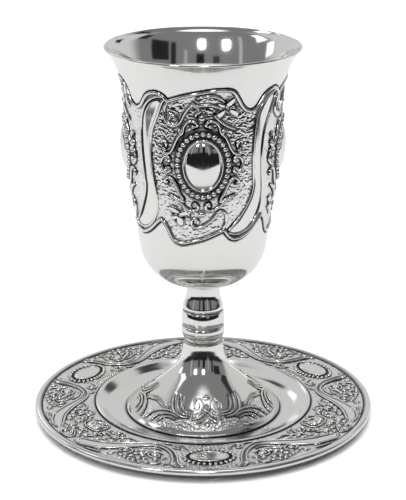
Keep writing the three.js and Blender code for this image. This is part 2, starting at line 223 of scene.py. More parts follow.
softbox_data = bpy.data.lights.new("softbox", "AREA")
softbox_data.shape = "RECTANGLE"
softbox_data.size = 2.4
softbox_data.size_y = 2.4
softbox_data.energy = 42
softbox = bpy.data.objects.new("softbox", softbox_data)
softbox.location = (0, 0.1, 1.3)
softbox.visible_glossy = False
softbox.visible_camera = False
bpy.context.scene.collection.objects.link(softbox)
print("table edge", round(TABLE_EDGE / MM), "mm in front of the axis")

# %% [markdown]
# The silver is polished where a cloth reaches and black where it doesn't. Each piece carries a value
# on its points for tarnish and painted shade, from 0 on the high places to 1 in the recesses. Most of it
# is tarnish. The painted shade in it is a dark crescent and a dark folded top on the bowl's ribbons, a
# black shadow line outside the bowl's border wires, and contact shadow on the saucer and on the foot's
# lowest edge where the foot stands. A shader group turns it into a colour, a roughness and a fine
# surface, so that every piece ages in the same way. Dirt could be found from the mesh with a pointiness
# node, but the relief knows its own recesses better.

# %% Silver
def tarnish_and_shade_group():
    group = bpy.data.node_groups.new("tarnished_and_shaded_silver", "ShaderNodeTree")
    interface = group.interface
    interface.new_socket("Tarnish_and_shade", in_out="INPUT", socket_type="NodeSocketFloat")
    interface.new_socket("Shine", in_out="INPUT", socket_type="NodeSocketFloat")
    interface.new_socket("Grain", in_out="INPUT", socket_type="NodeSocketFloat")
    interface.new_socket("Punch", in_out="INPUT", socket_type="NodeSocketFloat")
    interface.new_socket("Color", in_out="OUTPUT", socket_type="NodeSocketColor")
    interface.new_socket("Roughness", in_out="OUTPUT", socket_type="NodeSocketFloat")
    interface.new_socket("Height", in_out="OUTPUT", socket_type="NodeSocketFloat")
    given = group.nodes.new("NodeGroupInput")
    made = group.nodes.new("NodeGroupOutput")
    place = group.nodes.new("ShaderNodeTexCoord").outputs["Object"]

    def noise(scale, detail):
        node = group.nodes.new("ShaderNodeTexNoise")
        group.links.new(place, node.inputs["Vector"])
        link(group, scale, node.inputs["Scale"])
        node.inputs["Detail"].default_value = detail
        return node.outputs["Fac"]

    patches = noise(90.0, 3)
    specks = noise(1400.0, 2)
    uneven = sums(group, "MULTIPLY_ADD", specks, 0.5, sums(group, "MULTIPLY", patches, 0.3))
    dark = sums(group, "MULTIPLY", given.outputs["Tarnish_and_shade"], sums(group, "ADD", uneven, 0.62))
    dark = ramp(group, dark, 0.04, 0.92)
    film = sums(group, "MULTIPLY", ramp(group, patches, 0.42, 0.75), 0.045)
    shade = group.nodes.new("ShaderNodeMix")
    shade.data_type = "RGBA"
    group.links.new(dark, shade.inputs["Factor"])
    tint = group.nodes.new("ShaderNodeMix")
    tint.data_type = "RGBA"
    group.links.new(film, tint.inputs["Factor"])
    tint.inputs[6].default_value = (0.815, 0.812, 0.80, 1)
    tint.inputs[7].default_value = (0.60, 0.585, 0.555, 1)
    group.links.new(tint.outputs[2], shade.inputs[6])
    shade.inputs[7].default_value = (0.012, 0.012, 0.013, 1)
    group.links.new(shade.outputs[2], made.inputs["Color"])
    rough = sums(group, "MULTIPLY_ADD", dark, 0.34, given.outputs["Shine"])
    rough = sums(group, "MULTIPLY_ADD", patches, 0.03, rough)
    group.links.new(rough, made.inputs["Roughness"])
    dents = group.nodes.new("ShaderNodeTexVoronoi")
    dents.feature = "SMOOTH_F1"
    group.links.new(place, dents.inputs["Vector"])
    dents.inputs["Scale"].default_value = 1150.0
    dents.inputs["Smoothness"].default_value = 0.35
    punch = sums(group, "MULTIPLY", dents.outputs["Distance"], given.outputs["Punch"])
    height = sums(group, "MULTIPLY_ADD", specks, sums(group, "ADD", dark, given.outputs["Grain"]), punch)
    group.links.new(height, made.inputs["Height"])
    return group


TARNISH_AND_SHADE = tarnish_and_shade_group()


PUNCH_BUMP = 2.2  # height of the punched ground's dents against the fine grain


def silver(name, shine, grain):
    """A silver finish: shine is its roughness where polished, grain how strongly the polish is broken up."""
    finish = bpy.data.materials.new(name)
    finish.use_nodes = True
    tree = finish.node_tree
    surface = tree.nodes["Principled BSDF"]
    surface.inputs["Metallic"].default_value = 1
    worn = tree.nodes.new("ShaderNodeGroup")
    worn.node_tree = TARNISH_AND_SHADE
    recess = tree.nodes.new("ShaderNodeAttribute")
    # This value holds each piece's tarnish together with its painted shade, and both turn the silver black.
    recess.attribute_name = "tarnish_and_shade"
    tree.links.new(recess.outputs["Fac"], worn.inputs["Tarnish_and_shade"])
    struck = tree.nodes.new("ShaderNodeAttribute")
    struck.attribute_name = "punch"
    tree.links.new(sums(tree, "MULTIPLY", struck.outputs["Fac"], PUNCH_BUMP), worn.inputs["Punch"])
    worn.inputs["Shine"].default_value = shine
    worn.inputs["Grain"].default_value = grain
    bump = tree.nodes.new("ShaderNodeBump")
    bump.inputs["Strength"].default_value = 0.35
    bump.inputs["Distance"].default_value = 0.0002
    tree.links.new(worn.outputs["Height"], bump.inputs["Height"])
    tree.links.new(worn.outputs["Color"], surface.inputs["Base Color"])
    tree.links.new(worn.outputs["Roughness"], surface.inputs["Roughness"])
    tree.links.new(bump.outputs[0], surface.inputs["Normal"])
    return finish


bowl_silver = silver("bowl_silver", 0.075, 0.02)
stem_silver = silver("stem_silver", 0.07, 0.02)
foot_silver = silver("foot_silver", 0.08, 0.02)
saucer_silver = silver("saucer_silver", 0.12, 0.05)
print("finishes:", bowl_silver.name, stem_silver.name, foot_silver.name, saucer_silver.name)

# %% [markdown]
# The pieces are turned work, so each starts from a profile that a lathe would cut, taken around the
# axis in rings. The fine relief then moves the points of those rings in or out. A displacement
# texture could do that at render time, but it wouldn't be in the mesh, so the points are moved here.

# %% Lines, rings and skins
DEGREE = math.pi / 180


def smooth_line(points):
    """A smooth line y(x) through points sorted by x, which keeps its end values outside them."""
    xs, ys = np.array(sorted(points), float).T
    before = np.r_[0, np.arange(len(xs) - 1)]
    after = np.r_[np.arange(1, len(xs)), len(xs) - 1]
    slope = (ys[after] - ys[before]) / (xs[after] - xs[before])

    def line(at):
        at = np.clip(at, xs[0], xs[-1])
        i = np.clip(np.searchsorted(xs, at, "right") - 1, 0, len(xs) - 2)
        step = xs[i + 1] - xs[i]
        t = (at - xs[i]) / step
        bend = t * (1 - t) * step * (slope[i] * (1 - t) - slope[i + 1] * t)
        return ys[i] + (ys[i + 1] - ys[i]) * t * t * (3 - 2 * t) + bend

    return line


def smooth_path(points, step=0.5, closed=False):
    """A smooth path through points of two or three numbers, with a point about every step."""
    points = np.array(points, float)
    count = len(points) if closed else len(points) - 1
    padded = np.vstack([points[-1:], points, points[:2]]) if closed else np.vstack(
        [2 * points[:1] - points[1:2], points, 2 * points[-1:] - points[-2:-1]]
    )
    made = []
    for i in range(count):
        a, b, c, d = padded[i : i + 4]
        parts = max(1, round(np.linalg.norm((c - b)[:2]) / step))
        t = np.linspace(0, 1, parts, endpoint=False)[:, None]
        made.append(
            0.5 * (2 * b + (c - a) * t + (2 * a - 5 * b + 4 * c - d) * t**2 + (3 * b - a - 3 * c + d) * t**3)
        )
    if not closed:
        made.append(points[-1:])
    return np.vstack(made)


def polar(azimuth, radius, height):
    """Points in millimetres at an azimuth in degrees, 0 at the front and growing to the right."""
    azimuth, radius, height = np.broadcast_arrays(azimuth, radius, height)
    turn = np.asarray(azimuth, float) * DEGREE
    return np.stack([radius * np.sin(turn), -radius * np.cos(turn), height], -1).astype(float)


def wrap(azimuth, low, period):
    return low + np.mod(azimuth - low, period)


def add_piece(name, points, faces, finish, values):
    """A mesh object from points in millimetres, smooth shaded, with its faces pointing out."""
    corners = np.array([[f[0], f[k], f[k + 1]] for f in faces for k in range(1, len(f) - 1)])
    a, b, c = (points[corners[:, k]] for k in range(3))
    if np.einsum("ij,ij->i", a, np.cross(b, c)).sum() < 0:
        faces = [tuple(reversed(f)) for f in faces]
    mesh = bpy.data.meshes.new(name)
    mesh.from_pydata((points * MM).tolist(), [], faces)
    mesh.polygons.foreach_set("use_smooth", np.ones(len(mesh.polygons), bool))
    for title, value in values.items():
        layer = mesh.attributes.new(title, "FLOAT", "POINT")
        layer.data.foreach_set("value", np.clip(value, 0, 1).astype(np.float32))
    mesh.materials.append(finish)
    piece = bpy.data.objects.new(name, mesh)
    bpy.context.scene.collection.objects.link(piece)
    print(name, len(corners), "triangles")
    return piece


def turned(name, rings, finish):
    """A closed skin over rings of (points, tarnish with painted shade, punch). A ring has as many points as
    its neighbour, twice or half as many, or one where it closes."""
    faces, first = [], 0
    for upper, lower in zip(rings, rings[1:]):
        n, m = len(upper[0]), len(lower[0])
        start = first + n
        i = np.arange(max(n, m)) if n == m or 1 in (n, m) else np.arange(min(n, m))
        if n == m:
            made = [first + i, start + i, start + (i + 1) % m, first + (i + 1) % n]
        elif n == 1:
            made = [0 * i + first, start + i, start + (i + 1) % m]
        elif m == 1:
            made = [first + i, 0 * i + start, first + (i + 1) % n]
        elif n > m:
            made = [first + 2 * i, start + i, start + (i + 1) % m, first + (2 * i + 2) % n, first + 2 * i + 1]
        else:
            made = [first + i, start + 2 * i, start + 2 * i + 1, start + (2 * i + 2) % m, first + (i + 1) % n]
        faces += np.stack(made, -1).tolist()
        first = start
    points = np.concatenate([ring[0] for ring in rings])
    values = {
        title: np.concatenate([np.broadcast_to(ring[k], len(ring[0])) for ring in rings])
        for k, title in ((1, "tarnish_and_shade"), (2, "punch"))
    }
    return add_piece(name, points, faces, finish, values)


def ring_at(radius, z, count, dark=0.0, first=0.0):
    """A plain ring, or a single point on the axis."""
    if radius == 0:
        return polar(0, 0, z)[None], dark, 0.0
    return polar(first + np.arange(count) * 360 / count, radius, z), dark, 0.0


def outward(profile):
    """Unit normals of a profile of [radius, height] rows that runs downwards on the outside."""
    along = np.gradient(profile, axis=0)
    normal = np.stack([-along[:, 1], along[:, 0]], -1)
    return normal / np.linalg.norm(normal, axis=1, keepdims=True)

# %% [markdown]
# The relief has two kinds of things that repeat. Wires are round rods laid along drawn paths: borders,
# scrolls and leaf veins. Studs are beads, berries and petals set on points. Geometry Nodes make both:
# a path becomes a curve and sweeps a circle, and a point gets one rounded ball, stretched and turned
# by the point's own values. Each could be modelled by hand, but there are about nine hundred of them.

# %% Wires laid along paths
def node_tree(name, inputs):
    tree = bpy.data.node_groups.new(name, "GeometryNodeTree")
    tree.interface.new_socket("Geometry", in_out="INPUT", socket_type="NodeSocketGeometry")
    sockets = {
        title: tree.interface.new_socket(title, in_out="INPUT", socket_type=kind).identifier
        for title, kind in inputs.items()
    }
    tree.interface.new_socket("Geometry", in_out="OUTPUT", socket_type="NodeSocketGeometry")
    return tree, sockets


def attribute_of(tree, name, kind="FLOAT"):
    node = tree.nodes.new("GeometryNodeInputNamedAttribute")
    node.data_type = kind
    node.inputs["Name"].default_value = name
    return next(socket for socket in node.outputs if socket.enabled and socket.name == "Attribute")


def finish_tree(tree, given, geometry):
    """Smooth shading, then Realize Instances and Set Material, as every tree here ends."""
    smooth = tree.nodes.new("GeometryNodeSetShadeSmooth")
    real = tree.nodes.new("GeometryNodeRealizeInstances")
    dressed = tree.nodes.new("GeometryNodeSetMaterial")
    tree.links.new(geometry, smooth.inputs[0])
    tree.links.new(smooth.outputs[0], real.inputs[0])
    tree.links.new(real.outputs[0], dressed.inputs[0])
    tree.links.new(given.outputs["Material"], dressed.inputs["Material"])
    tree.links.new(dressed.outputs[0], tree.nodes.new("NodeGroupOutput").inputs[0])


def wire_tree():
    inputs = {"Girth": "NodeSocketFloat", "Sides": "NodeSocketInt", "Material": "NodeSocketMaterial"}
    tree, sockets = node_tree("wires", inputs)
    given = tree.nodes.new("NodeGroupInput")
    curve = tree.nodes.new("GeometryNodeMeshToCurve")
    section = tree.nodes.new("GeometryNodeCurvePrimitiveCircle")
    sweep = tree.nodes.new("GeometryNodeCurveToMesh")
    tree.links.new(given.outputs["Geometry"], curve.inputs[0])
    tree.links.new(given.outputs["Sides"], section.inputs["Resolution"])
    section.inputs["Radius"].default_value = 1
    girth = sums(tree, "MULTIPLY", attribute_of(tree, "girth"), given.outputs["Girth"])
    tree.links.new(curve.outputs[0], sweep.inputs["Curve"])
    tree.links.new(section.outputs["Curve"], sweep.inputs["Profile Curve"])
    tree.links.new(girth, sweep.inputs["Scale"])
    sweep.inputs["Fill Caps"].default_value = True
    finish_tree(tree, given, sweep.outputs[0])
    return tree, sockets


def stud_tree():
    inputs = {"Segments": "NodeSocketInt", "Rings": "NodeSocketInt", "Material": "NodeSocketMaterial"}
    tree, sockets = node_tree("studs", inputs)
    given = tree.nodes.new("NodeGroupInput")
    ball = tree.nodes.new("GeometryNodeMeshUVSphere")
    turn = tree.nodes.new("FunctionNodeAxesToRotation")
    turn.primary_axis, turn.secondary_axis = "Z", "X"
    place = tree.nodes.new("GeometryNodeInstanceOnPoints")
    tree.links.new(given.outputs["Segments"], ball.inputs["Segments"])
    tree.links.new(given.outputs["Rings"], ball.inputs["Rings"])
    ball.inputs["Radius"].default_value = 1
    tree.links.new(attribute_of(tree, "upright", "FLOAT_VECTOR"), turn.inputs["Primary Axis"])
    tree.links.new(attribute_of(tree, "along", "FLOAT_VECTOR"), turn.inputs["Secondary Axis"])
    tree.links.new(given.outputs["Geometry"], place.inputs["Points"])
    tree.links.new(ball.outputs["Mesh"], place.inputs["Instance"])
    tree.links.new(turn.outputs[0], place.inputs["Rotation"])
    tree.links.new(attribute_of(tree, "stretch", "FLOAT_VECTOR"), place.inputs["Scale"])
    finish_tree(tree, given, place.outputs[0])
    return tree, sockets


WIRES, WIRE_INPUTS = wire_tree()
STUDS, STUD_INPUTS = stud_tree()


def grown(name, tree, sockets, values, mesh):
    """Runs a tree on a mesh and returns the result as a plain mesh object."""
    seed = bpy.data.objects.new(name + "_seed", mesh)
    bpy.context.scene.collection.objects.link(seed)
    modifier = seed.modifiers.new("grow", "NODES")
    modifier.node_group = tree
    for title, value in values.items():
        modifier[sockets[title]] = value
    bpy.context.view_layer.update()
    made = bpy.data.meshes.new_from_object(seed.evaluated_get(bpy.context.evaluated_depsgraph_get()))
    bpy.data.objects.remove(seed)
    made.name = name
    points = np.zeros(3 * len(made.vertices), np.float32)
    made.vertices.foreach_get("co", points)
    made.calc_loop_triangles()
    corners = np.zeros(3 * len(made.loop_triangles), np.int32)
    made.loop_triangles.foreach_get("vertices", corners)
    a, b, c = points.reshape(-1, 3).astype(float)[corners.reshape(-1, 3).T]
    if np.einsum("ij,ij->i", a, np.cross(b, c)).sum() < 0:
        made.flip_normals()
    piece = bpy.data.objects.new(name, made)
    bpy.context.scene.collection.objects.link(piece)
    print(name, len(corners) // 3, "triangles")
    return piece


def lay_wires(name, wires, finish, sides=8):
    """Rods along (points, girths, closed) paths in millimetres."""
    points = np.concatenate([path for path, _, _ in wires])
    girths = np.concatenate([np.broadcast_to(girth, len(path)) for path, girth, _ in wires])
    edges, first = [], 0
    for path, _, closed in wires:
        i = np.arange(len(path) if closed else len(path) - 1)
        edges += np.stack([first + i, first + (i + 1) % len(path)], -1).tolist()
        first += len(path)
    mesh = bpy.data.meshes.new(name + "_paths")
    mesh.from_pydata((points * MM).tolist(), edges, [])
    mesh.attributes.new("girth", "FLOAT", "POINT").data.foreach_set("value", girths.astype(np.float32))
    return grown(name, WIRES, WIRE_INPUTS, {"Girth": MM, "Sides": sides, "Material": finish}, mesh)


def set_studs(name, studs, finish, segments=10, rings=7):
    """Balls from rows of centre, upright direction, direction of the length, and three half sizes."""
    centres, upright, along, stretch = (np.array(part, float) for part in zip(*studs))
    mesh = bpy.data.meshes.new(name + "_points")
    mesh.from_pydata((centres * MM).tolist(), [], [])
    for title, value in (("upright", upright), ("along", along), ("stretch", stretch * MM)):
        layer = mesh.attributes.new(title, "FLOAT_VECTOR", "POINT")
        layer.data.foreach_set("vector", value.astype(np.float32).ravel())
    return grown(name, STUDS, STUD_INPUTS, {"Segments": segments, "Rings": rings, "Material": finish}, mesh)


def tapered(path, girth, ends=0.5, reach=3):
    """Girths along a path that thin out towards both ends."""
    i = np.arange(len(path))
    near = np.minimum(i, len(path) - 1 - i)
    return girth * (ends + (1 - ends) * np.clip(near / reach, 0, 1))


def nearest(across, up, wires, reach=3.0):
    """How far each point of a grid is from the side of the nearest of some flat (path, girth) wires."""
    found = np.full(across.shape, reach)
    for path, girth in wires:
        for (x0, y0), (x1, y1) in zip(path, path[1:]):
            near = (
                (across > min(x0, x1) - reach) & (across < max(x0, x1) + reach)
                & (up > min(y0, y1) - reach) & (up < max(y0, y1) + reach)
            )
            px, py = across[near] - x0, up[near] - y0
            dx, dy = x1 - x0, y1 - y0
            t = np.clip((px * dx + py * dy) / max(dx * dx + dy * dy, 1e-9), 0, 1)
            gap = np.hypot(px - t * dx, py - t * dy) - girth
            found[near] = np.minimum(found[near], gap)
    return found


print("trees:", WIRES.name, STUDS.name)

# %% [markdown]
# The bowl is a flared goblet. Its carved band has four alike panels with ribbons between them, and
# each panel holds an oval medallion among scrolls on a punched ground. The wall is one turned skin
# with the relief in its rings: about five hundred points around are enough for the punched ground, and
# the plain lip and the inside get by with a quarter of that.

# %% Bowl: profile and border lines
BOWL_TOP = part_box("bowl")[1].z / MM
BOWL_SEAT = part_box("bowl")[0].z / MM
WALL_THICKNESS = 1.1
BOWL_FLOOR = BOWL_SEAT + 2.4
# [radius, depth below the rim]
BOWL_WALL = [
    [38.0, 0], [35.2, 4.2], [32.8, 9.4], [31.2, 14.8], [30.4, 23], [29.5, 39], [28.5, 53],
    [27.1, 63], [26.2, 71], [25.5, 77], [24.2, 83], [21.4, 88.2], [17.0, 92.4], [11.5, 95.1],
]
BOWL_FOOT_RADIUS = 7.1
BAND_MIDDLE = BOWL_TOP - 41
BAND_SCALE = 0.515  # millimetres around the wall for a degree
PANELS = 4
PANEL_STEP = 360 / PANELS
# Height of a wire above the band's middle, by azimuth, over one panel and one ribbon
UPPER_WIRE = [
    [-53, 21.2], [-49, 22.3], [-45.5, 24.6], [-42, 26.7], [-37.5, 28], [-32, 28.3], [-28, 27.3],
    [-25.2, 25.7], [-22, 26.2], [-13, 27.9], [-1, 29.5], [10, 30.4], [16, 30.3], [20.5, 29.4],
    [24, 26.9], [27.5, 23.9], [30.5, 22.1], [34, 21.2], [37, 21.2],
]
LOWER_WIRE = [
    [-36, -21.7], [-32.5, -22.9], [-29.3, -25.2], [-26.5, -28.2], [-22.5, -29.9], [-16, -30.3],
    [-8, -29.3], [1, -28.1], [11.5, -26.0], [17.5, -25.2], [20, -26.9], [24, -28.7], [30, -29.1],
    [36.5, -28.2], [43, -26.3], [49, -23.8], [54, -21.7],
]
# The ribbon right of a panel: [azimuth, height above the band's middle, half width]
RIBBON = [
    [62.5, 26.6, 0.5], [58.5, 25.6, 1.5], [54, 23.4, 2.6], [50.3, 20.6, 3.2], [47.4, 17.4, 3.2],
    [45.5, 14, 2.8], [44.5, 10, 2.5], [44.2, 5, 2.35], [44.7, 0, 2.3], [45.6, -5, 2.4],
    [46.2, -9.5, 2.8], [45.8, -13, 3.3], [44, -16.8, 3.9], [41, -19.8, 4.1], [37, -22.2, 3.8],
    [32.5, -23.9, 3.2], [28, -25, 2.3], [24.5, -25.6, 1.4], [21.5, -25.8, 0.4],
]

wall_points = [[r, BOWL_TOP - depth] for r, depth in BOWL_WALL] + [[BOWL_FOOT_RADIUS, BOWL_SEAT]]
wall_path = smooth_path(wall_points, 0.25)
upper_shape = smooth_line(UPPER_WIRE)
lower_shape = smooth_line(LOWER_WIRE)


def bowl_radius(z):
    return np.interp(z, wall_path[::-1, 1], wall_path[::-1, 0])


def upper_wire(azimuth):
    return BAND_MIDDLE + upper_shape(wrap(azimuth, UPPER_WIRE[0][0], PANEL_STEP))


def lower_wire(azimuth):
    return BAND_MIDDLE + lower_shape(wrap(azimuth, LOWER_WIRE[0][0], PANEL_STEP))


def swept_band(rows):
    """A ribbon's middle line with its half widths, and its left and right sides going up."""
    rows = smooth_path(rows, 0.5)
    along = np.gradient(rows[:, :2], axis=0)
    along /= np.linalg.norm(along, axis=1, keepdims=True)
    aside = np.stack([along[:, 1], -along[:, 0]], -1)
    return rows, rows[:, :2] + aside * rows[:, 2:], rows[:, :2] - aside * rows[:, 2:]


def outside_band(across, up, rows, reach=3.0):
    """How far each point of a grid is outside a ribbon, negative within it."""
    return nearest(across, up, [(rows[k : k + 2, :2], rows[k, 2]) for k in range(len(rows) - 1)], reach)


ribbon_rows, ribbon_left, ribbon_right = swept_band([[a * BAND_SCALE, up, w] for a, up, w in RIBBON])
print("bowl from", round(BOWL_SEAT, 1), "to", round(BOWL_TOP, 1), "mm")

# %% [markdown]
# A panel's ornament is drawn flat, in millimetres across and up from the middle of its medallion, and
# then wrapped onto the wall. Most scrolls come in pairs about the medallion, so one side is drawn and
# the other is mirrored, as a chaser would do with one pricked pattern.

# %% Bowl: ornament of a panel
MEDALLION_MIDDLE = BOWL_TOP - 39.7
PANEL_RADIUS = 29.6  # the radius at which across is true
MIRROR_LINE = -0.5
BEADS = 32
BEAD_OVAL = (9.5, 12.3)
BEAD_SIZE = (1.1, 1.04, 1.0)
BEAD_PROUD = 0.5
OVAL_WIRE = (7.2, 9.85)
DOME = (6.95, 9.6)
DOME_TOP = 2.7


def mirrored(path):
    return [(2 * MIRROR_LINE - across, up) for across, up in path]


def oval(half_width, half_height, step=0.5):
    turn = np.linspace(0, 2 * math.pi, round(math.pi * (half_width + half_height) / step), endpoint=False)
    return np.stack([half_width * np.sin(turn), half_height * np.cos(turn)], -1)


def around_oval(half_width, half_height, count):
    """Places evenly spaced along an oval, each with the direction that points out of it."""
    ring = oval(half_width, half_height, 0.05)
    length = np.r_[0, np.cumsum(np.linalg.norm(np.diff(ring, axis=0), axis=1))]
    places = []
    for along in np.arange(count) * length[-1] / count:
        across, up = (np.interp(along, length, ring[:, k]) for k in (0, 1))
        lean = math.degrees(math.atan2(up / half_height**2, across / half_width**2))
        places.append((across, up, lean))
    return places


VOLUTE = [
    (1.95, 15), (1, 15.4), (1.5, 16.6), (3.1, 17.2), (4.9, 16.6), (6.2, 14.8), (6.7, 12.5), (8.3, 10.9),
    (9.5, 8.6), (10.6, 6.1), (12, 4.3), (13.8, 3.9), (14.9, 5), (14.2, 6.4),
]
LOW_LEAF = [
    (6.7, -13.4), (8.1, -11.4), (9.2, -8.6), (10.8, -6.1), (12.4, -5.3), (13.8, -6.1), (14.2, -7.3),
    (12.9, -7.3),
]
LOW_STEM = [(6.9, -14.6), (8.8, -13.6), (10.8, -13.0)]
LOW_VOLUTE = [
    (-13.3, -12.1), (-11, -13.3), (-8.7, -15.1), (-6.9, -16.9), (-4.6, -18), (-2.4, -17.3), (-2.1, -15.8),
    (-3.5, -15.1), (-3.9, -16.1),
]
SIDE_CURL = [(15.6, 0.1), (14.9, 2.0), (13.4, 3.0), (11.9, 2.2), (12.3, 0.9), (13.4, 1.2)]
SIDE_CURL_LOW = [(15.6, 0.1), (14.9, -2.2), (13.4, -3.4), (11.9, -2.6), (12.3, -1.3), (13.4, -1.6)]
SIDE_LEAF = [(13.2, 6.6), (13.0, 8.2), (14.4, 9.0), (15.0, 7.9)]
TOP_PAISLEY = [
    (-13, 24.1), (-14.2, 21.8), (-14.4, 18.6), (-13.5, 16.4), (-11.5, 15), (-9.6, 15.5), (-8.3, 16.8),
    (-7.1, 19.3), (-5.5, 21.8), (-3.7, 23.2), (-1.9, 22.5), (-1.2, 20.9), (-2.4, 20), (-2.6, 19),
]
TOP_SPIRAL = [
    (-12.4, 20), (-10.5, 18.6), (-9.6, 17), (-10.5, 15.7), (-12.4, 16.4), (-12.4, 18.2), (-11.2, 18.9),
]
TOP_ARC = [(-3.7, 24.5), (-2.4, 23.2), (0, 23.4), (2.6, 23.4), (4.9, 22.7), (7, 21.8)]
TOP_VEIN = [(-2.2, 26.0), (1.5, 26.9), (5.2, 26.4), (7.6, 24.4)]
TOP_TWIG = [(4.0, 19.6), (6.0, 17.4), (8.2, 15.6), (10.4, 14.4), (12.0, 13.6)]
LOW_PAISLEY = [
    (8.5, -26.1), (9, -24.5), (9.7, -22.3), (9.5, -19.8), (7.6, -18.4), (5.8, -19.1), (4, -21.4),
    (1.7, -23.2), (-0.5, -24.5), (-2.8, -25), (-4.6, -23.6), (-4.6, -22), (-3.3, -21.4),
    (-1.9, -22.3), (-2.4, -23.6),
]
LOW_TWIG = [(-8.2, -15.8), (-6.6, -18.2), (-5.6, -20.4)]
paired = [VOLUTE, LOW_LEAF, LOW_STEM, SIDE_CURL, SIDE_CURL_LOW, SIDE_LEAF]
single = [TOP_PAISLEY, TOP_SPIRAL, TOP_ARC, TOP_VEIN, TOP_TWIG, LOW_PAISLEY, LOW_TWIG]
opposite = [mirrored(path) for path in paired + [LOW_VOLUTE]]
scrolls = [smooth_path(path) for path in paired + opposite + [LOW_VOLUTE] + single]

# Petals and balls: [across, up, direction in degrees, half length, half width, half height]
PETALS = [
    [10.0, 24.4, 60, 2.6, 1.35, 0.45], [6.4, 20.1, 60, 2.5, 1.35, 0.45], [6.6, 23.3, -45, 1.7, 1.0, 0.45],
    [11.3, 20.3, -50, 2.5, 1.35, 0.45],
    [-11.9, -18.2, 150, 2.4, 1.4, 0.45], [-7.4, -19.2, 20, 2.6, 1.4, 0.45], [-9.6, -22.6, 95, 2.7, 1.4, 0.45],
    [-11.8, -21.2, 35, 1.8, 1.1, 0.45],
    [7.4, 13.0, 60, 1.5, 0.75, 0.75], [-8.4, 13.0, 120, 1.5, 0.75, 0.75],
    [7.3, -14.0, 35, 1.3, 0.7, 0.7], [-8.3, -14.0, 145, 1.3, 0.7, 0.7],
]
PETAL_DROOP = 0.22  # how far the flat petals of the two flowers turn down
FLAT_PETAL = 0.5  # the petals lower than this are flat
BALLS = [
    [-0.4, 18.4, 0, 1.35, 1.35, 0.95], [-0.5, -19.4, 0, 1.5, 1.1, 0.9], [11.0, 22.2, 0, 0.8, 0.8, 0.6],
    [2.6, 15.0, 0, 0.8, 0.8, 0.8], [-3.6, 15.0, 0, 0.8, 0.8, 0.8], [2.4, -15.9, 0, 0.8, 0.8, 0.8],
    [-3.4, -15.9, 0, 0.8, 0.8, 0.8], [13.3, 1.5, 0, 0.75, 0.75, 0.7], [-14.3, 1.5, 0, 0.75, 0.75, 0.7],
    [13.3, -2.0, 0, 0.75, 0.75, 0.7], [-14.3, -2.0, 0, 0.75, 0.75, 0.7], [-2.9, -22.6, 0, 0.8, 0.8, 0.6],
    [13.7, 5.4, 0, 0.7, 0.7, 0.6], [-14.7, 5.4, 0, 0.7, 0.7, 0.6],
]
print(len(scrolls), "scrolls and", BEADS + len(PETALS) + len(BALLS), "studs on each panel")

# %% Bowl: height and tarnish of the carved band
COLUMNS = 512
PLAIN_COLUMNS = COLUMNS // 4
BAND_ROW = 0.39
BAND_REACH = 31.4  # from the band's middle to its first plain ring
GROUND_SUNK = 0.28
RIBBON_ROLL = 0.3
PUNCH_DEPTH = 0.06
BORDER_GIRTH = 0.64
SCROLL_GIRTH = 0.58
RIBBON_GIRTH = 0.45
rng = np.random.default_rng(7)


def soft_step(value, low, high):
    t = np.clip((value - low) / (high - low), 0, 1)
    return t * t * (3 - 2 * t)


def punched(rows, columns, period):
    """Heights of a punched ground, which repeats every period columns."""
    dots = rng.normal(size=(rows, period))
    dots = dots + 0.5 * (np.roll(dots, 1, 0) + np.roll(dots, 1, 1))
    return np.tile(dots / dots.std(), (1, columns // period))


def panel_relief(across, up):
    """Height, tarnish and share of punching of a panel, from flat places on it."""
    gap = nearest(across, up, [(path, 0.45) for path in scrolls])
    beside = np.exp(-((np.maximum(gap, 0) / 0.5) ** 2))
    height = np.full(across.shape, -GROUND_SUNK) - 0.12 * beside
    crowded = np.hypot(across / 15.5, up / 18.5)
    close = soft_step(crowded, 1.3, 0.8)
    tarnish_and_shade = 0.14 + 0.06 * close + (0.5 + 0.35 * close) * beside
    for petal in PETALS + BALLS:
        away = np.hypot(across - petal[0], up - petal[1]) - 0.5 * (petal[3] + petal[4])
        tarnish_and_shade += 0.4 * np.exp(-((np.maximum(away, 0) / 0.6) ** 2))
    pad = np.hypot(across / 10.7, up / 13.5)
    height = np.where(pad < 1.06, 0.3 - 0.6 * soft_step(pad, 1.0, 1.06), height)
    tarnish_and_shade = np.where(pad < 1.04, 0.75, tarnish_and_shade + 0.35 * soft_step(pad, 1.14, 1.05))
    dome = np.hypot(across / DOME[0], up / DOME[1])
    rise = DOME_TOP - 0.35
    height = np.where(dome < 1, 0.35 + rise * np.clip(1 - dome**2.6, 0, 1) ** 0.8, height)
    tarnish_and_shade = np.where(dome < 0.985, 0, tarnish_and_shade)
    punch = np.where(pad < 1.06, 0, soft_step(gap, 0.0, 0.5))
    return height, tarnish_and_shade, punch


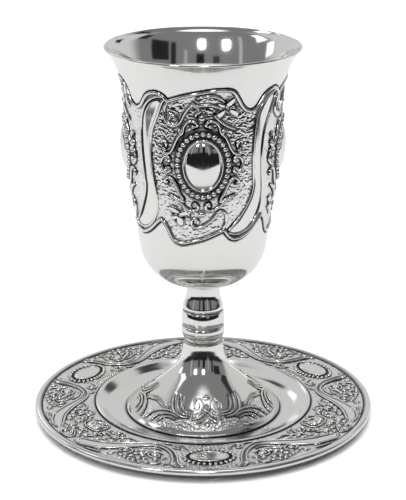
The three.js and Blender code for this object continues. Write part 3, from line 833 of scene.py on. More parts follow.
def band_relief(azimuth, z):
    """Height, tarnish with painted shade, and share of punching of the whole band, on a grid of azimuths and
    heights.
    """
    period = COLUMNS // PANELS
    azimuth, z = azimuth[:, :period], z[:, :period]
    across = wrap(azimuth, -PANEL_STEP / 2, PANEL_STEP) * DEGREE * PANEL_RADIUS
    height, tarnish_and_shade, punch = panel_relief(across, z - MEDALLION_MIDDLE)
    turn = wrap(azimuth, RIBBON[-1][0] - 6, PANEL_STEP)
    place = turn * BAND_SCALE, z - BAND_MIDDLE
    around = np.arange(turn.min() - 6, turn.max() + 6, 1.0)
    top_gap, low_gap = (
        nearest(*place, [(np.stack([around * BAND_SCALE, line(around) - BAND_MIDDLE], -1), 0)])
        for line in (upper_wire, lower_wire)
    )
    outside = outside_band(*place, ribbon_rows)
    from_left = nearest(*place, [(ribbon_left, 0)])
    from_right = nearest(*place, [(ribbon_right, 0)])
    ribbon = outside < 0
    up = z - BAND_MIDDLE
    # Painted shade on the ribbon: the crescent along its left edge, wider where shaded, stands for a dark
    # reflection in its inner slope, and the folded top (cap) is painted darker.
    shaded = soft_step(up, -4, -9) * soft_step(up, -25.5, -22) + 0.5 * soft_step(up, 10, 16)
    painted_crescent = soft_step(from_left, 0.75 + 0.9 * shaded, 0.55 + 0.6 * shaded)
    cap = soft_step(top_gap, 2.9, 2.3) * soft_step(turn, 42, 44)
    groove = soft_step(from_right, 0.7, 0.5)
    rolled = RIBBON_ROLL * (1 - soft_step(-outside, 0.3, 0.95 + 0.5 * shaded))
    height = np.where(ribbon, -rolled - 0.3 * cap, height)
    tarnish_and_shade = np.where(ribbon, np.maximum(np.maximum(painted_crescent, groove), 0.62 * cap), tarnish_and_shade)
    beside = np.exp(-((np.maximum(np.minimum(top_gap, low_gap) - 0.6, 0) / 0.45) ** 2))
    beside = np.maximum(beside, np.exp(-((np.maximum(outside - 0.4, 0) / 0.4) ** 2)))
    tarnish_and_shade = np.where(ribbon, tarnish_and_shade, np.maximum(tarnish_and_shade, 0.85 * beside))
    inside = (z < upper_wire(azimuth)) & (z > lower_wire(azimuth))
    # Outside the band a shallow groove follows the border wires, and it is painted black as a shadow line.
    outer = np.minimum(top_gap, low_gap) - BORDER_GIRTH
    line = soft_step(outer, 0.75, 0.45)
    height = np.where(inside, height, -0.16 * line)
    tarnish_and_shade = np.where(inside, tarnish_and_shade, 0.95 * line)
    punch = np.where(ribbon | ~inside, 0, punch)
    dots = punched(len(z), period, period)
    height = height + PUNCH_DEPTH * dots * punch
    tarnish_and_shade = tarnish_and_shade + 0.05 * np.clip(-dots, -1, 2) * punch
    return [np.tile(part, (1, PANELS)) for part in (height, tarnish_and_shade, punch)]


azimuths = -45 + np.arange(COLUMNS) * 360 / COLUMNS
band_rows = np.arange(BAND_MIDDLE + BAND_REACH, BAND_MIDDLE - BAND_REACH - 0.1, -BAND_ROW)
grid_azimuth, grid_z = np.meshgrid(azimuths, band_rows)
band_height, band_tarnish_and_shade, band_punch = band_relief(grid_azimuth, grid_z)
print("band:", grid_z.shape, "height", round(band_height.min(), 2), "to", round(band_height.max(), 2), "mm")

# %% Bowl: the skin
def offset_profile(path, thickness):
    normal = outward(path)
    return path - thickness * normal


def plain_ring(radius, z, count, dark=0.0):
    return ring_at(radius, z, count, dark, azimuths[0])


def bowl_skin():
    rings = [ring_at(0, BOWL_FLOOR, 1, 0.1)]
    inner = offset_profile(wall_path, WALL_THICKNESS)
    inner = inner[(inner[:, 1] > BOWL_FLOOR) & (inner[:, 1] < BOWL_TOP - 0.5)][::-1]
    for radius in (3, 7, 11):
        rings.append(plain_ring(radius, BOWL_FLOOR, PLAIN_COLUMNS, 0.1))
    for radius, z in inner[:: max(1, len(inner) // 56)]:
        if radius > 12:
            # The inside is made darker towards its floor.
            deep = 0.25 * soft_step(z, BOWL_FLOOR + 30, BOWL_FLOOR)
            rings.append(plain_ring(radius, max(z, BOWL_FLOOR + 0.02 * (radius - 11)), PLAIN_COLUMNS, deep))
    rim = bowl_radius(BOWL_TOP)
    for turn in np.radians([200, 150, 105, 60, 15, -30]):
        lip = WALL_THICKNESS / 2
        radius, z = rim - lip + lip * math.cos(turn), BOWL_TOP - lip + lip * math.sin(turn)
        rings.append(plain_ring(radius, z, PLAIN_COLUMNS))
    for z in np.arange(BOWL_TOP - 1.2, band_rows[0] + 0.6, -0.8):
        rings.append(plain_ring(bowl_radius(z), z, PLAIN_COLUMNS))
    rings.append(plain_ring(bowl_radius(band_rows[0] + 0.3), band_rows[0] + 0.3, COLUMNS // 2))
    for k, z in enumerate(band_rows):
        rings.append((polar(azimuths, bowl_radius(z) + band_height[k], z), band_tarnish_and_shade[k], band_punch[k]))
    z = band_rows[-1] - 0.3
    rings.append(plain_ring(bowl_radius(z), z, COLUMNS // 2))
    under = wall_path[wall_path[:, 1] < z - 0.3][::3]
    for radius, height in under:
        dark = 0.5 * soft_step(height, BOWL_SEAT + 1.2, BOWL_SEAT)
        rings.append(plain_ring(radius, height, PLAIN_COLUMNS, dark))
    rings.append(ring_at(0, BOWL_SEAT, 1, 0.8))
    return turned("bowl_wall", rings, bowl_silver)


bowl_wall = bowl_skin()

# %% Bowl: wires and studs
def on_bowl(across, up, proud, panel=0):
    """A flat place on a panel, wrapped onto the wall."""
    z = MEDALLION_MIDDLE + np.asarray(up, float)
    turn = panel * PANEL_STEP + np.asarray(across, float) / (PANEL_RADIUS * DEGREE)
    return polar(turn, bowl_radius(z) + proud, z)


def stud_at(place, across, up, angle, sizes, proud, droop=0.0):
    """A stud's row: its centre on a surface, its upright, the direction of its length and its half sizes.
    The upright may droop."""
    here = place(across, up, proud)
    upright = place(across, up, proud + 1) - here - np.array([0, 0, droop])
    tip = place(across + 0.5 * math.cos(angle * DEGREE), up + 0.5 * math.sin(angle * DEGREE), proud)
    return here, upright, tip - here, sizes


def bowl_wires():
    wires = []
    azimuth = np.arange(0, 360, 0.9)
    for z in (upper_wire(azimuth), lower_wire(azimuth)):
        wires.append((polar(azimuth, bowl_radius(z) + 0.02, z), BORDER_GIRTH, True))
    for panel in range(PANELS):
        for side in (ribbon_left, ribbon_right):
            turn, z = side[:, 0] / BAND_SCALE, BAND_MIDDLE + side[:, 1]
            within = (z < upper_wire(turn) - 0.5) & (z > lower_wire(turn) + 0.5)
            path = polar(turn + panel * PANEL_STEP, bowl_radius(z), z)[within]
            wires.append((path, RIBBON_GIRTH, False))
        for path in scrolls:
            wires.append((on_bowl(path[:, 0], path[:, 1], 0.05, panel), tapered(path, SCROLL_GIRTH), False))
        ring = oval(*OVAL_WIRE)
        wires.append((on_bowl(ring[:, 0], ring[:, 1], 0.62, panel), 0.5, True))
    return lay_wires("bowl_wires", wires, bowl_silver)


def bowl_studs():
    studs = []
    for panel in range(PANELS):
        place = lambda across, up, proud: on_bowl(across, up, proud, panel)
        for across, up, lean in around_oval(*BEAD_OVAL, BEADS):
            studs.append(stud_at(place, across, up, lean, BEAD_SIZE, BEAD_PROUD))
        for across, up, angle, *size in PETALS + BALLS:
            droop = PETAL_DROOP if size[2] < FLAT_PETAL else 0
            studs.append(stud_at(place, across, up, angle, tuple(size), 0.0, droop))
    return set_studs("bowl_studs", studs, bowl_silver, 8, 6)


bowl_wire_piece = bowl_wires()
bowl_stud_piece = bowl_studs()

# %% [markdown]
# The stem is one turned baluster: a waisted neck, then two swelling rings with fine cut lines between
# them. It has no relief of its own, so the profile alone makes it, with tarnish left in the cut lines.

# %% Stem
STEM_TOP = BOWL_SEAT
STEM_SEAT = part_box("foot")[1].z / MM
# [radius, depth below the bowl]
STEM_PROFILE = [
    [7.0, 0], [6.72, 2.6], [6.95, 5.0], [7.85, 7.8], [8.25, 9.2], [8.2, 10.2], [7.95, 10.9], [8.3, 11.3],
    [8.68, 13.0], [8.8, 15.0], [8.6, 16.5], [8.3, 17.2], [8.3, 17.5], [8.65, 18.0], [8.8, 18.9], [8.72, 20.4],
    [8.4, 21.3], [7.85, 22.7], [7.65, 23.8], [7.7, 24.3],
]
CUT_LINES = [10.9, 17.35, 21.6, 23.7]  # depths of the lines cut between its rings
CUT_DEPTH = 0.22
CUT_WIDTH = 0.22
STEM_ROUND = 96


def turned_stem():
    path = smooth_path([[r, STEM_TOP - depth] for r, depth in STEM_PROFILE], 0.22)
    path = path[path[:, 1] > STEM_SEAT]
    path = np.vstack([path, [[path[-1, 0], STEM_SEAT]]])
    depth = STEM_TOP - path[:, 1]
    cut = sum(np.exp(-(((depth - line) / CUT_WIDTH) ** 2)) for line in CUT_LINES)
    rows = [[0, STEM_TOP, 0.8]]
    dark = 0.95 * cut + 0.7 * np.exp(-depth / 0.5)
    rows += np.column_stack([path[:, 0] - CUT_DEPTH * cut, path[:, 1], dark]).tolist()
    rows.append([0, STEM_SEAT, 0.8])
    return turned("stem_turning", [ring_at(r, z, STEM_ROUND, dark) for r, z, dark in rows], stem_silver)


stem_turning = turned_stem()

# %% [markdown]
# The foot is a trumpet that runs out into a low skirt. The skirt is punched below a raised line, which
# dips from three pairs of volutes, sweeps up in lobes on either side and passes over an arch
# halfway to the next pair. One side of a motif is drawn, then mirrored and turned around the axis.

# %% Foot: profile and drawn lines
FOOT_TOP = STEM_SEAT
FOOT_RADIUS = 31.1
FOOT_REST = SAUCER_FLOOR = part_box("foot")[0].z / MM - 0.3
FOOT_MOTIFS = 3
FOOT_TURN = 4
FOOT_FLAT = 23.0  # radius at which a drawn place's width is true
FOOT_LEAN = 1.2  # length down the slope for each millimetre outwards
# [radius, depth below the stem]
FOOT_PROFILE = [
    [7.9, 0], [7.95, 1.6], [8.3, 3.7], [8.8, 6.0], [9.6, 8.3], [10.8, 10.5], [12.6, 12.8], [17, 16.8],
    [21, 20.1], [25.4, 23.5], [28.0, 25.6], [29.4, 26.8], [30.3, 27.8], [30.9, 28.6], [31.1, 29.0],
]
# Radius of the raised line above the skirt, by azimuth from a pair of volutes to an arch
SKIRT_LINE = [[0, 20.4], [12, 24.2], [22, 23.6], [33, 18.8], [42, 22.8], [51, 21.4], [60, 20.9]]
SKIRT_END = 29.3
foot_path = smooth_path([[r, FOOT_TOP - depth] for r, depth in FOOT_PROFILE], 0.25)
skirt_shape = smooth_line(SKIRT_LINE)

# One side of a motif: places of each line as (azimuth from the pair of volutes, radius)
FOOT_LINES = [
    [
        (0, 23.2), (2.8, 21.9), (4.2, 20.0), (7.2, 18.7), (11.2, 18.9), (13.4, 20.4), (12.2, 22.2),
        (9.4, 22.4), (7.7, 21.3), (8.5, 20.1), (10.0, 20.3),
    ],
    [(13.5, 23.4), (20, 23.5), (25, 22.3), (28.5, 20.2), (30, 18.8)],
    [(15, 24.5), (23, 24.3), (29, 22.9), (33, 20.6), (35.5, 18.2)],
    [(17.5, 25.4), (27, 25.0), (34, 23.4), (39, 20.8), (42.5, 18.0)],
    [(0, 22.9), (4, 24.3), (8.5, 25.4), (13, 25.9)],
    [(0, 24.6), (3.5, 25.9), (7.5, 26.9)],
    [(57, 29.0), (55, 26.8), (49, 24.9), (39, 24.0), (30, 24.5), (22, 25.6)],
    [(49.5, 28.8), (47, 26.7), (41.5, 25.5), (33, 25.1), (26, 25.9)],
    [(43.5, 28.4), (41, 26.9), (35.8, 26.2), (29, 26.6)],
    [(40, 23.2), (46, 22.0), (53, 21.2), (60, 20.9)],
    [(43, 24.0), (50, 22.9), (60, 22.2)],
]
FOOT_GIRTHS = [0.44, 0.4, 0.42, 0.45, 0.42, 0.36, 0.4, 0.36, 0.34, 0.42, 0.34]
# Bulbs and buds: [azimuth from the motif, radius, half width, half length down the slope, half height]
FOOT_BULBS = [
    [0, 18.2, 1.7, 1.5, 0.8], [0, 26.7, 1.1, 2.4, 0.8],
    [3.4, 27.2, 0.5, 1.3, 0.5], [-3.4, 27.2, 0.5, 1.3, 0.5],
]


def foot_flat(azimuth, radius):
    return np.asarray(azimuth, float) * DEGREE * FOOT_FLAT, np.asarray(radius, float) * FOOT_LEAN


foot_lines = [smooth_path(np.stack(foot_flat(*np.transpose(line)), -1), 0.5) for line in FOOT_LINES]
print(len(foot_lines), "drawn lines on each side of", FOOT_MOTIFS, "motifs")

# %% Foot: skin
FOOT_COLUMNS = 432
SKIRT_ROW = 0.3
# [radius, height] of the hollow under the foot
FOOT_HOLLOW = [[28, 3.8], [24.5, 6.3], [18, 11.4], [12, 17], [8.5, 21], [6.4, 22.5], [3, 24.6], [0, 25]]


def foot_height(radius):
    return np.interp(radius, foot_path[:, 0], foot_path[:, 1])


def foot_relief(azimuth, radius):
    """Height, tarnish and share of punching of the skirt; azimuth is from a motif, without its sign."""
    across, down = foot_flat(azimuth, radius)
    gap = nearest(across, down, [(line, girth) for line, girth in zip(foot_lines, FOOT_GIRTHS)])
    below = (radius - skirt_shape(azimuth)) * FOOT_LEAN
    skirt = soft_step(below, -0.2, 0.5) * soft_step(radius, SKIRT_END + 0.5, SKIRT_END)
    edge = np.exp(-(((radius - SKIRT_END - 0.35) / 0.3) ** 2))
    near = np.exp(-((np.maximum(gap, 0) / 0.5) ** 2)) * (gap < 2)
    lobes = soft_step(azimuth, 12, 17) * soft_step(azimuth, 44, 40) * soft_step(radius, 17.5, 18.5)
    height = -0.22 * skirt - 0.15 * near * np.maximum(skirt, lobes)
    tarnish_and_shade = 0.08 * skirt + near * np.maximum(0.5 * skirt, 0.6 * lobes) + 0.25 * edge
    punch = skirt * soft_step(gap, 0, 0.4)
    return height, tarnish_and_shade, punch


def foot_skin():
    azimuth = np.arange(FOOT_COLUMNS) * 360 / FOOT_COLUMNS
    step = 360 / FOOT_MOTIFS
    turn = np.abs(wrap(azimuth - FOOT_TURN, -step / 2, step))
    skirt = np.arange(16.4, FOOT_RADIUS - 1.0, SKIRT_ROW / FOOT_LEAN)
    grid_turn, grid_radius = np.meshgrid(turn, skirt)
    height, tarnish_and_shade, punch = foot_relief(grid_turn, grid_radius)
    dots = punched(len(skirt), FOOT_COLUMNS, FOOT_COLUMNS)
    height = height + 0.045 * dots * punch
    normal = outward(foot_path)
    lean = [np.interp(skirt, foot_path[:, 0], normal[:, k]) for k in (0, 1)]
    quarter = FOOT_COLUMNS // 4
    rings = [ring_at(0, FOOT_TOP, 1, 0.8)]
    for r, z in foot_path[foot_path[:, 0] < 16.1][::2]:
        rings.append(ring_at(r, z, quarter, 0.5 * math.exp(-(FOOT_TOP - z) / 0.5)))
    rings.append(ring_at(16.25, foot_height(16.25), 2 * quarter))
    for k, radius in enumerate(skirt):
        points = polar(azimuth, radius + height[k] * lean[0][k], foot_height(radius) + height[k] * lean[1][k])
        rings.append((points, tarnish_and_shade[k], punch[k]))
    rings.append(ring_at(30.2, foot_height(30.2), 2 * quarter, 0.1))
    edge = [[r, foot_height(r)] for r in (30.4, 30.7, 30.95)]
    edge += [[FOOT_RADIUS, FOOT_REST + 1.0], [FOOT_RADIUS, FOOT_REST + 0.3]]
    edge += [[30.9, FOOT_REST], [30.0, FOOT_REST], [29.8, FOOT_REST + 0.6]]
    # Besides its light tarnish, the foot's lowest edge, where it stands on the saucer, is darkened with
    # painted contact shade.
    for r, z in edge + FOOT_HOLLOW:
        rings.append(ring_at(r, z, quarter, 0.15 + 0.4 * (z < FOOT_REST + 0.4)))
    return turned("foot_trumpet", rings, foot_silver)


foot_trumpet = foot_skin()


# %% Foot: raised lines and bulbs
def on_foot(azimuth, radius, proud, motif=0, side=1):
    turn = FOOT_TURN + motif * 360 / FOOT_MOTIFS + side * np.asarray(azimuth, float)
    normal = outward(foot_path)
    out, up = (np.interp(radius, foot_path[:, 0], normal[:, k]) for k in (0, 1))
    return polar(turn, radius + proud * out, foot_height(radius) + proud * up)


def foot_wires():
    wires = []
    for motif in range(FOOT_MOTIFS):
        for side in (1, -1):
            for line, girth in zip(foot_lines, FOOT_GIRTHS):
                azimuth, radius = line[:, 0] / (DEGREE * FOOT_FLAT), line[:, 1] / FOOT_LEAN
                path = on_foot(azimuth, radius, -0.02, motif, side)
                wires.append((path, tapered(line, girth, 0.4, 6), False))
    return lay_wires("foot_lines", wires, foot_silver)


def foot_studs():
    studs = []
    for motif in range(FOOT_MOTIFS):
        for azimuth, radius, width, length, tall in FOOT_BULBS:
            here = on_foot(azimuth, radius, -0.05, motif)
            upright = on_foot(azimuth, radius, 0.95, motif) - here
            along = on_foot(azimuth, radius + 0.3, -0.05, motif) - here
            studs.append((here, upright, along, (length, width, tall)))
    return set_studs("foot_bulbs", studs, foot_silver, 16, 10)


foot_line_piece = foot_wires()
foot_bulb_piece = foot_studs()

# %% [markdown]
# The saucer has a plain well, a wide carved border and a smooth rolled lip. Its border has three ovals
# in rings of beads, a smooth ribbon that dips to the well on either side of each, and bunches
# of fruit and flowers between. It is mirrored about every oval and about every bunch halfway, so a
# sixth of the circle is drawn.

# %% Saucer: profile and drawn ornament
BORDER_HEIGHT = 4.6
SAUCER_TURN = 2.5
OVALS = 3
OVAL_STEP = 360 / OVALS
OVAL_MIDDLE = 55.4  # radius of the ovals' middles
BORDER_FLAT = 55.0
BORDER_IN, BORDER_OUT = 44.4, 65.3
OVAL_SIZE = (7.1, 4.1)
OVAL_BEADS = (9.4, 6.2, 26)
# Ribbon: [azimuth from the oval, radius, half width]
BORDER_RIBBON = [
    [10.5, 64.4, 1.0], [12.2, 61.5, 1.0], [13.2, 57, 0.9], [15.8, 52, 0.9], [20.5, 48.8, 0.9],
    [26, 48.6, 1.1], [32, 51.2, 1.4], [38, 55.5, 1.9], [44, 59.6, 2.4], [50, 62.0, 2.2],
    [53.5, 62.6, 1.0],
]
# Places of each curl as (azimuth from the oval, radius)
BORDER_CURLS = [
    [(9.5, 49.0), (11.0, 46.6), (13.6, 45.8), (15.8, 46.9), (15.2, 48.8), (13.2, 49.0), (12.8, 47.7)],
    [(17.5, 46.2), (19.5, 45.6), (21.6, 46.2)],
    [
        (18.6, 55.0), (20.5, 53.6), (23.4, 54.6), (23.6, 57.4), (21.2, 58.8), (19.2, 57.6),
        (20.0, 56.0), (21.6, 56.2),
    ],
    [(20.5, 51.6), (23.2, 50.9), (26.2, 51.6), (28.6, 53.4)],
    [(23.8, 53.6), (26.6, 53.9), (29.2, 55.4)],
    [(31.0, 59.6), (30.6, 57.0), (32.6, 55.4), (35.2, 56.2), (35.6, 58.4), (33.8, 59.4)],
    [(17.8, 61.5), (18.2, 63.6), (20.6, 64.2)],
    [(33.6, 48.6), (36.6, 47.6), (40.0, 48.2), (42.6, 50.2)],
    [(42.2, 47.6), (44.2, 46.0), (46.8, 46.2), (47.6, 48.2), (45.8, 49.2), (44.6, 48.2)],
    [(43.2, 52.8), (42.6, 50.9), (44.4, 49.9), (46.2, 51.0), (45.6, 52.6)],
    [(47.6, 51.2), (50.0, 50.2), (52.2, 51.4), (51.6, 53.6), (49.8, 53.2)],
    [(54.0, 48.2), (55.2, 46.2), (57.6, 45.6), (59.0, 47.0), (57.6, 48.2), (56.4, 47.4)],
    [(53.6, 49.2), (54.6, 52.2), (57.0, 53.2), (60.0, 53.4)],
    [(56.8, 57.8), (57.2, 55.6), (60.0, 54.8)],
    [(60.0, 59.2), (58.0, 60.6), (56.4, 62.4), (57.8, 64.2), (60.0, 64.4)],
    [(50.8, 55.2), (52.6, 56.4), (53.2, 58.6), (51.6, 59.4)],
    [(40.4, 63.8), (43.4, 64.4), (46.6, 64.8)],
]
# Fruit, petals and berries: [azimuth, radius, direction in degrees, half length, half width, half height]
BORDER_FRUIT = [
    [21.2, 56.3, 0, 1.7, 1.5, 0.9], [19.8, 60.4, 0, 0.95, 0.95, 0.8], [22.3, 63.3, 0, 0.95, 0.95, 0.75],
    [17.4, 58.6, 80, 1.4, 0.8, 0.7], [24.8, 55.7, 40, 1.5, 0.7, 0.7], [26.6, 56.8, 35, 1.6, 0.75, 0.7],
    [25.4, 58.6, 20, 1.2, 0.8, 0.8], [23.6, 61.0, 60, 1.3, 0.75, 0.75], [26.0, 61.6, 120, 1.3, 0.8, 0.75],
    [26.8, 63.8, 0, 0.85, 0.85, 0.7], [24.6, 64.2, 0, 0.7, 0.7, 0.6], [29.0, 60.6, 45, 1.3, 0.8, 0.8],
    [28.2, 58.4, 0, 0.8, 0.8, 0.75], [30.8, 62.6, 0, 0.8, 0.8, 0.7], [29.0, 63.2, 90, 0.9, 0.6, 0.6],
    [33.2, 57.6, 60, 1.2, 0.9, 0.75], [33.0, 61.6, 150, 1.2, 0.7, 0.6], [35.2, 60.6, 0, 0.7, 0.7, 0.6],
    [36.6, 62.6, 20, 1.4, 0.7, 0.55], [29.6, 55.6, 0, 0.7, 0.7, 0.6], [37.2, 50.6, 30, 1.8, 0.8, 0.65],
    [40.4, 52.2, 60, 1.3, 0.8, 0.7], [41.2, 49.6, 0, 0.8, 0.8, 0.7], [44.4, 51.2, 0, 1.0, 1.0, 0.8],
    [46.0, 47.4, 0, 0.9, 0.9, 0.75], [43.4, 54.2, 20, 1.6, 0.9, 0.7], [46.6, 54.6, 0, 0.9, 0.9, 0.75],
    [48.2, 48.4, 100, 1.4, 0.7, 0.6], [50.2, 51.8, 0, 0.95, 0.95, 0.8], [48.6, 56.8, 30, 1.5, 0.9, 0.7],
    [51.0, 48.6, 60, 1.2, 0.7, 0.6], [52.8, 54.2, 110, 1.4, 0.9, 0.8], [54.6, 57.6, 60, 1.7, 1.1, 0.8],
    [57.2, 50.4, 70, 2.6, 1.5, 1.0], [60.0, 51.0, 90, 2.3, 1.3, 0.95], [60.0, 56.2, 0, 1.6, 1.3, 1.1],
    [57.6, 58.6, 30, 1.3, 0.9, 0.85], [60.0, 60.2, 90, 1.5, 0.9, 0.8], [55.4, 60.6, 0, 0.9, 0.9, 0.75],
    [58.0, 62.4, 0, 0.8, 0.8, 0.7], [60.0, 47.0, 0, 1.0, 0.8, 0.7], [53.0, 62.6, 20, 1.3, 0.9, 0.7],
    [42.6, 61.6, 30, 1.6, 1.1, 0.75], [12.8, 62.6, 0, 1.1, 1.1, 0.8], [9.6, 63.6, 120, 1.3, 0.6, 0.6],
    [15.8, 63.2, 60, 1.4, 0.6, 0.6], [14.2, 47.4, 0, 0.7, 0.7, 0.6],
]
# Flutes of the comb on the well's side of each oval
COMB = [[azimuth, 46.4, 90, 1.6, 0.5, 0.5] for azimuth in np.linspace(-7.5, 7.5, 9)]


def border_flat(azimuth, radius):
    return np.asarray(azimuth, float) * DEGREE * BORDER_FLAT, np.asarray(radius, float)


flat_ribbon = [[a * DEGREE * BORDER_FLAT, r, w] for a, r, w in BORDER_RIBBON]
border_rows, ribbon_inner, ribbon_outer = swept_band(flat_ribbon)
border_curls = [smooth_path(np.stack(border_flat(*np.transpose(curl)), -1), 0.5) for curl in BORDER_CURLS]
border_wires_flat = [(path, 0.34) for path in border_curls] + [(ribbon_inner, 0.36), (ribbon_outer, 0.36)]
print(len(border_curls), "curls and", len(BORDER_FRUIT), "fruits on each sixth of the border")

# %% Saucer: skin
# Middle lines of the two bunches on a sixth of the border, with how far each reaches
BUNCHES = [([[21, 58.5], [31, 59.5]], 4.5), ([[43, 50.5], [62, 55]], 5.0)]
BORDER_COLUMNS = 864
BORDER_ROW = 0.39
SAUCER_ROUND = 216
SAUCER_UNDERSIDE = 0.35
# [radius, height] of the well, the lip and the underside
WELL = [
    [12, SAUCER_FLOOR], [26, SAUCER_FLOOR], [31.5, SAUCER_FLOOR], [33.5, 1.25], [36.4, 1.65],
    [39, 2.7], [41.2, 4.1], [42.6, 4.95], [43.4, 5.0], [43.9, 4.7],
]
LIP = [
    [65.8, 4.75], [66.3, 5.02], [67.0, 5.12], [67.8, 4.95], [68.25, 4.5], [68.4, 3.9], [68.3, 3.3],
    [67.9, 2.9], [67.3, 2.85], [66.4, 3.4],
]
UNDER = [
    [64, 3.55], [56, 3.45], [48, 3.4], [43, 3.2], [40.5, 2.1], [38.4, 1.2], [36.4, 0.5], [34.6, 0.0],
    [33.4, 0.0], [32.4, SAUCER_UNDERSIDE], [20, SAUCER_UNDERSIDE], [8, SAUCER_UNDERSIDE],
]


def border_relief(azimuth, radius):
    """Height, tarnish and share of punching; azimuth is from an oval, 0 to 60."""
    across, out = border_flat(azimuth, radius)
    gap = nearest(across, out, border_wires_flat)
    band = outside_band(across, out, border_rows)
    on_ribbon = soft_step(band, 0.15, -0.25)
    height = -0.12 + 0.4 * on_ribbon - 0.1 * np.exp(-((gap / 0.6) ** 2))
    tarnish_and_shade = 0.1 + 0.55 * np.exp(-((np.maximum(gap, 0) / 0.42) ** 2))
    for fruit in BORDER_FRUIT:
        x, y = border_flat(fruit[0], fruit[1])
        away = np.hypot(across - x, out - y) - 0.5 * (fruit[3] + fruit[4])
        tarnish_and_shade = tarnish_and_shade + 0.5 * np.exp(-((np.maximum(away, 0) / 0.5) ** 2)) * (1 - on_ribbon)
        height = height + 0.15 * np.exp(-((np.maximum(away, 0) / 0.8) ** 2)) * (1 - on_ribbon)
    bunches = [(np.stack(border_flat(*np.transpose(line)), -1), reach) for line, reach in BUNCHES]
    crowd = nearest(across, out, bunches)
    tarnish_and_shade = tarnish_and_shade + 0.08 * soft_step(crowd, 0.5, -0.5) * (1 - on_ribbon)
    ring = np.hypot(across / OVAL_SIZE[0], (out - OVAL_MIDDLE) / OVAL_SIZE[1])
    height = np.where(ring < 1, 0.35 + 0.45 * (1 - ring**2) ** 0.7, height)
    bed = np.hypot(across / 10.2, (out - OVAL_MIDDLE) / 7.0)
    tarnish_and_shade = np.where(ring < 0.97, 0.03, np.where(bed < 1, np.maximum(tarnish_and_shade, 0.85), tarnish_and_shade))
    tarnish_and_shade = np.where(on_ribbon > 0.5, 0.9 * np.exp(-(((band + 0.62) / 0.3) ** 2)), tarnish_and_shade)
    punch = (1 - on_ribbon) * soft_step(gap, 0, 0.4) * soft_step(bed, 0.98, 1.04)
    rim = soft_step(out, BORDER_OUT - 0.5, BORDER_OUT) + soft_step(out, BORDER_IN + 0.4, BORDER_IN)
    tarnish_and_shade = np.where(rim > 0, np.maximum(tarnish_and_shade, 0.9 * rim), tarnish_and_shade)
    return height * (1 - rim) - 0.2 * rim, tarnish_and_shade, punch * (1 - rim)


def saucer_skin():
    azimuth = np.arange(BORDER_COLUMNS) * 360 / BORDER_COLUMNS
    turn = np.abs(wrap(azimuth - SAUCER_TURN, -OVAL_STEP / 2, OVAL_STEP))
    radii = np.arange(BORDER_OUT, BORDER_IN - 0.1, -BORDER_ROW)
    grid_turn, grid_radius = np.meshgrid(turn, radii)
    height, tarnish_and_shade, punch = border_relief(grid_turn, grid_radius)
    height = height + 0.05 * punched(len(radii), BORDER_COLUMNS, BORDER_COLUMNS) * punch
    rings = [ring_at(0, SAUCER_FLOOR, 1, 0.1)]
    for r, z in [[3, SAUCER_FLOOR], [7, SAUCER_FLOOR]] + smooth_path(WELL, 0.5).tolist():
        # A ring of painted contact shadow lies on the well where the foot stands on it.
        foot_contact_shadow = 0.85 * math.exp(-(((r - FOOT_RADIUS) / 1.0) ** 2))
        rings.append(ring_at(r, z, SAUCER_ROUND, foot_contact_shadow + 0.9 * soft_step(r, 43.4, 43.9)))
    rings.append(ring_at(44.15, 4.5, SAUCER_ROUND * 2, 0.9))
    for k in range(len(radii) - 1, -1, -1):
        rings.append((polar(azimuth, radii[k], BORDER_HEIGHT + height[k]), tarnish_and_shade[k], punch[k]))
    rings.append(ring_at(65.55, 4.5, SAUCER_ROUND * 2, 0.8))
    for r, z in smooth_path(LIP, 0.3).tolist() + UNDER:
        # The underside of the saucer is made darker.
        dark = 0.05 + 0.5 * soft_step(r, 66.6, 66.0) * (z > 4) + 0.25 * (z < 3.6) * (r < 66)
        rings.append(ring_at(r, z, SAUCER_ROUND, dark))
    rings.append(ring_at(0, SAUCER_UNDERSIDE, 1, 0.3))
    return turned("saucer_dish", rings, saucer_silver)


saucer_dish = saucer_skin()


# %% Saucer: wires, beads and fruit
def on_border(azimuth, radius, proud, oval=0, side=1):
    turn = SAUCER_TURN + oval * OVAL_STEP + side * np.asarray(azimuth, float)
    return polar(turn, radius, BORDER_HEIGHT + proud)


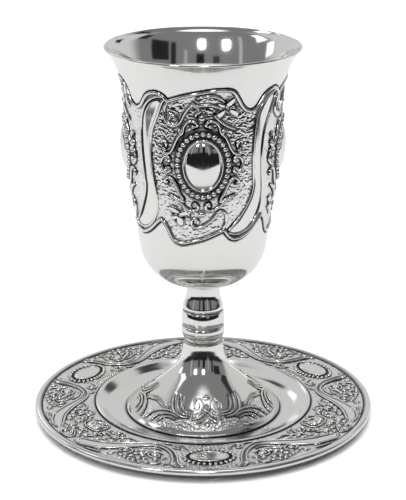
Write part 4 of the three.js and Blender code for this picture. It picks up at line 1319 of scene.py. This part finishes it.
def border_wires():
    wires = []
    for number in range(OVALS):
        for side in (1, -1):
            for path, girth in border_wires_flat:
                azimuth, radius = path[:, 0] / (DEGREE * BORDER_FLAT), path[:, 1]
                proud = 0.2 if path is ribbon_inner or path is ribbon_outer else 0.05
                inside = (azimuth <= 60.01) & (radius < BORDER_OUT - 0.2)
                points = on_border(azimuth, radius, proud, number, side)[inside]
                wires.append((points, tapered(points, girth, 0.5, 3), False))
        ring = oval(*OVAL_SIZE)
        azimuth, radius = ring[:, 0] / (DEGREE * BORDER_FLAT), OVAL_MIDDLE + ring[:, 1]
        wires.append((on_border(azimuth, radius, 0.3, number), 0.36, True))
    return lay_wires("border_wires", wires, saucer_silver, 6)


def border_stud(place, azimuth, radius, angle, sizes, proud):
    """A stud's row on the border, which stands straight up."""
    here = place(azimuth, radius, proud)
    across = 0.3 * math.cos(angle * DEGREE) / (DEGREE * BORDER_FLAT)
    tip = place(azimuth + across, radius + 0.3 * math.sin(angle * DEGREE), proud)
    return here, (0, 0, 1), tip - here, sizes


def border_studs():
    studs = []
    for number in range(OVALS):
        place = lambda a, r, proud: on_border(a, r, proud, number)
        for across, out, lean in around_oval(*OVAL_BEADS):
            azimuth, radius = across / (DEGREE * BORDER_FLAT), OVAL_MIDDLE + out
            studs.append(border_stud(place, azimuth, radius, lean, (0.85, 0.66, 0.6), 0.1))
        for azimuth, radius, angle, *size in COMB:
            studs.append(border_stud(place, azimuth, radius, angle, tuple(size), -0.1))
        for side in (1, -1):
            place = lambda a, r, proud: on_border(a, r, proud, number, side)
            for azimuth, radius, angle, *size in BORDER_FRUIT:
                if azimuth < OVAL_STEP / 2 or side > 0:
                    studs.append(border_stud(place, azimuth, radius, angle, tuple(size), 0.0))
    return set_studs("border_fruit", studs, saucer_silver, 10, 7)


border_wire_piece = border_wires()
border_stud_piece = border_studs()

# %% [markdown]
# Every piece rides on the one body and stands for its imported node, which is hidden.

# %% Hand the pieces over
PIECES = {
    "bowl": [bowl_wall, bowl_wire_piece, bowl_stud_piece],
    "stem": [stem_turning],
    "foot": [foot_trumpet, foot_line_piece, foot_bulb_piece],
    "saucer": [saucer_dish, border_wire_piece, border_stud_piece],
}
for node, dressed in PIECES.items():
    for piece in dressed:
        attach(piece, "root")
        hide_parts(node)
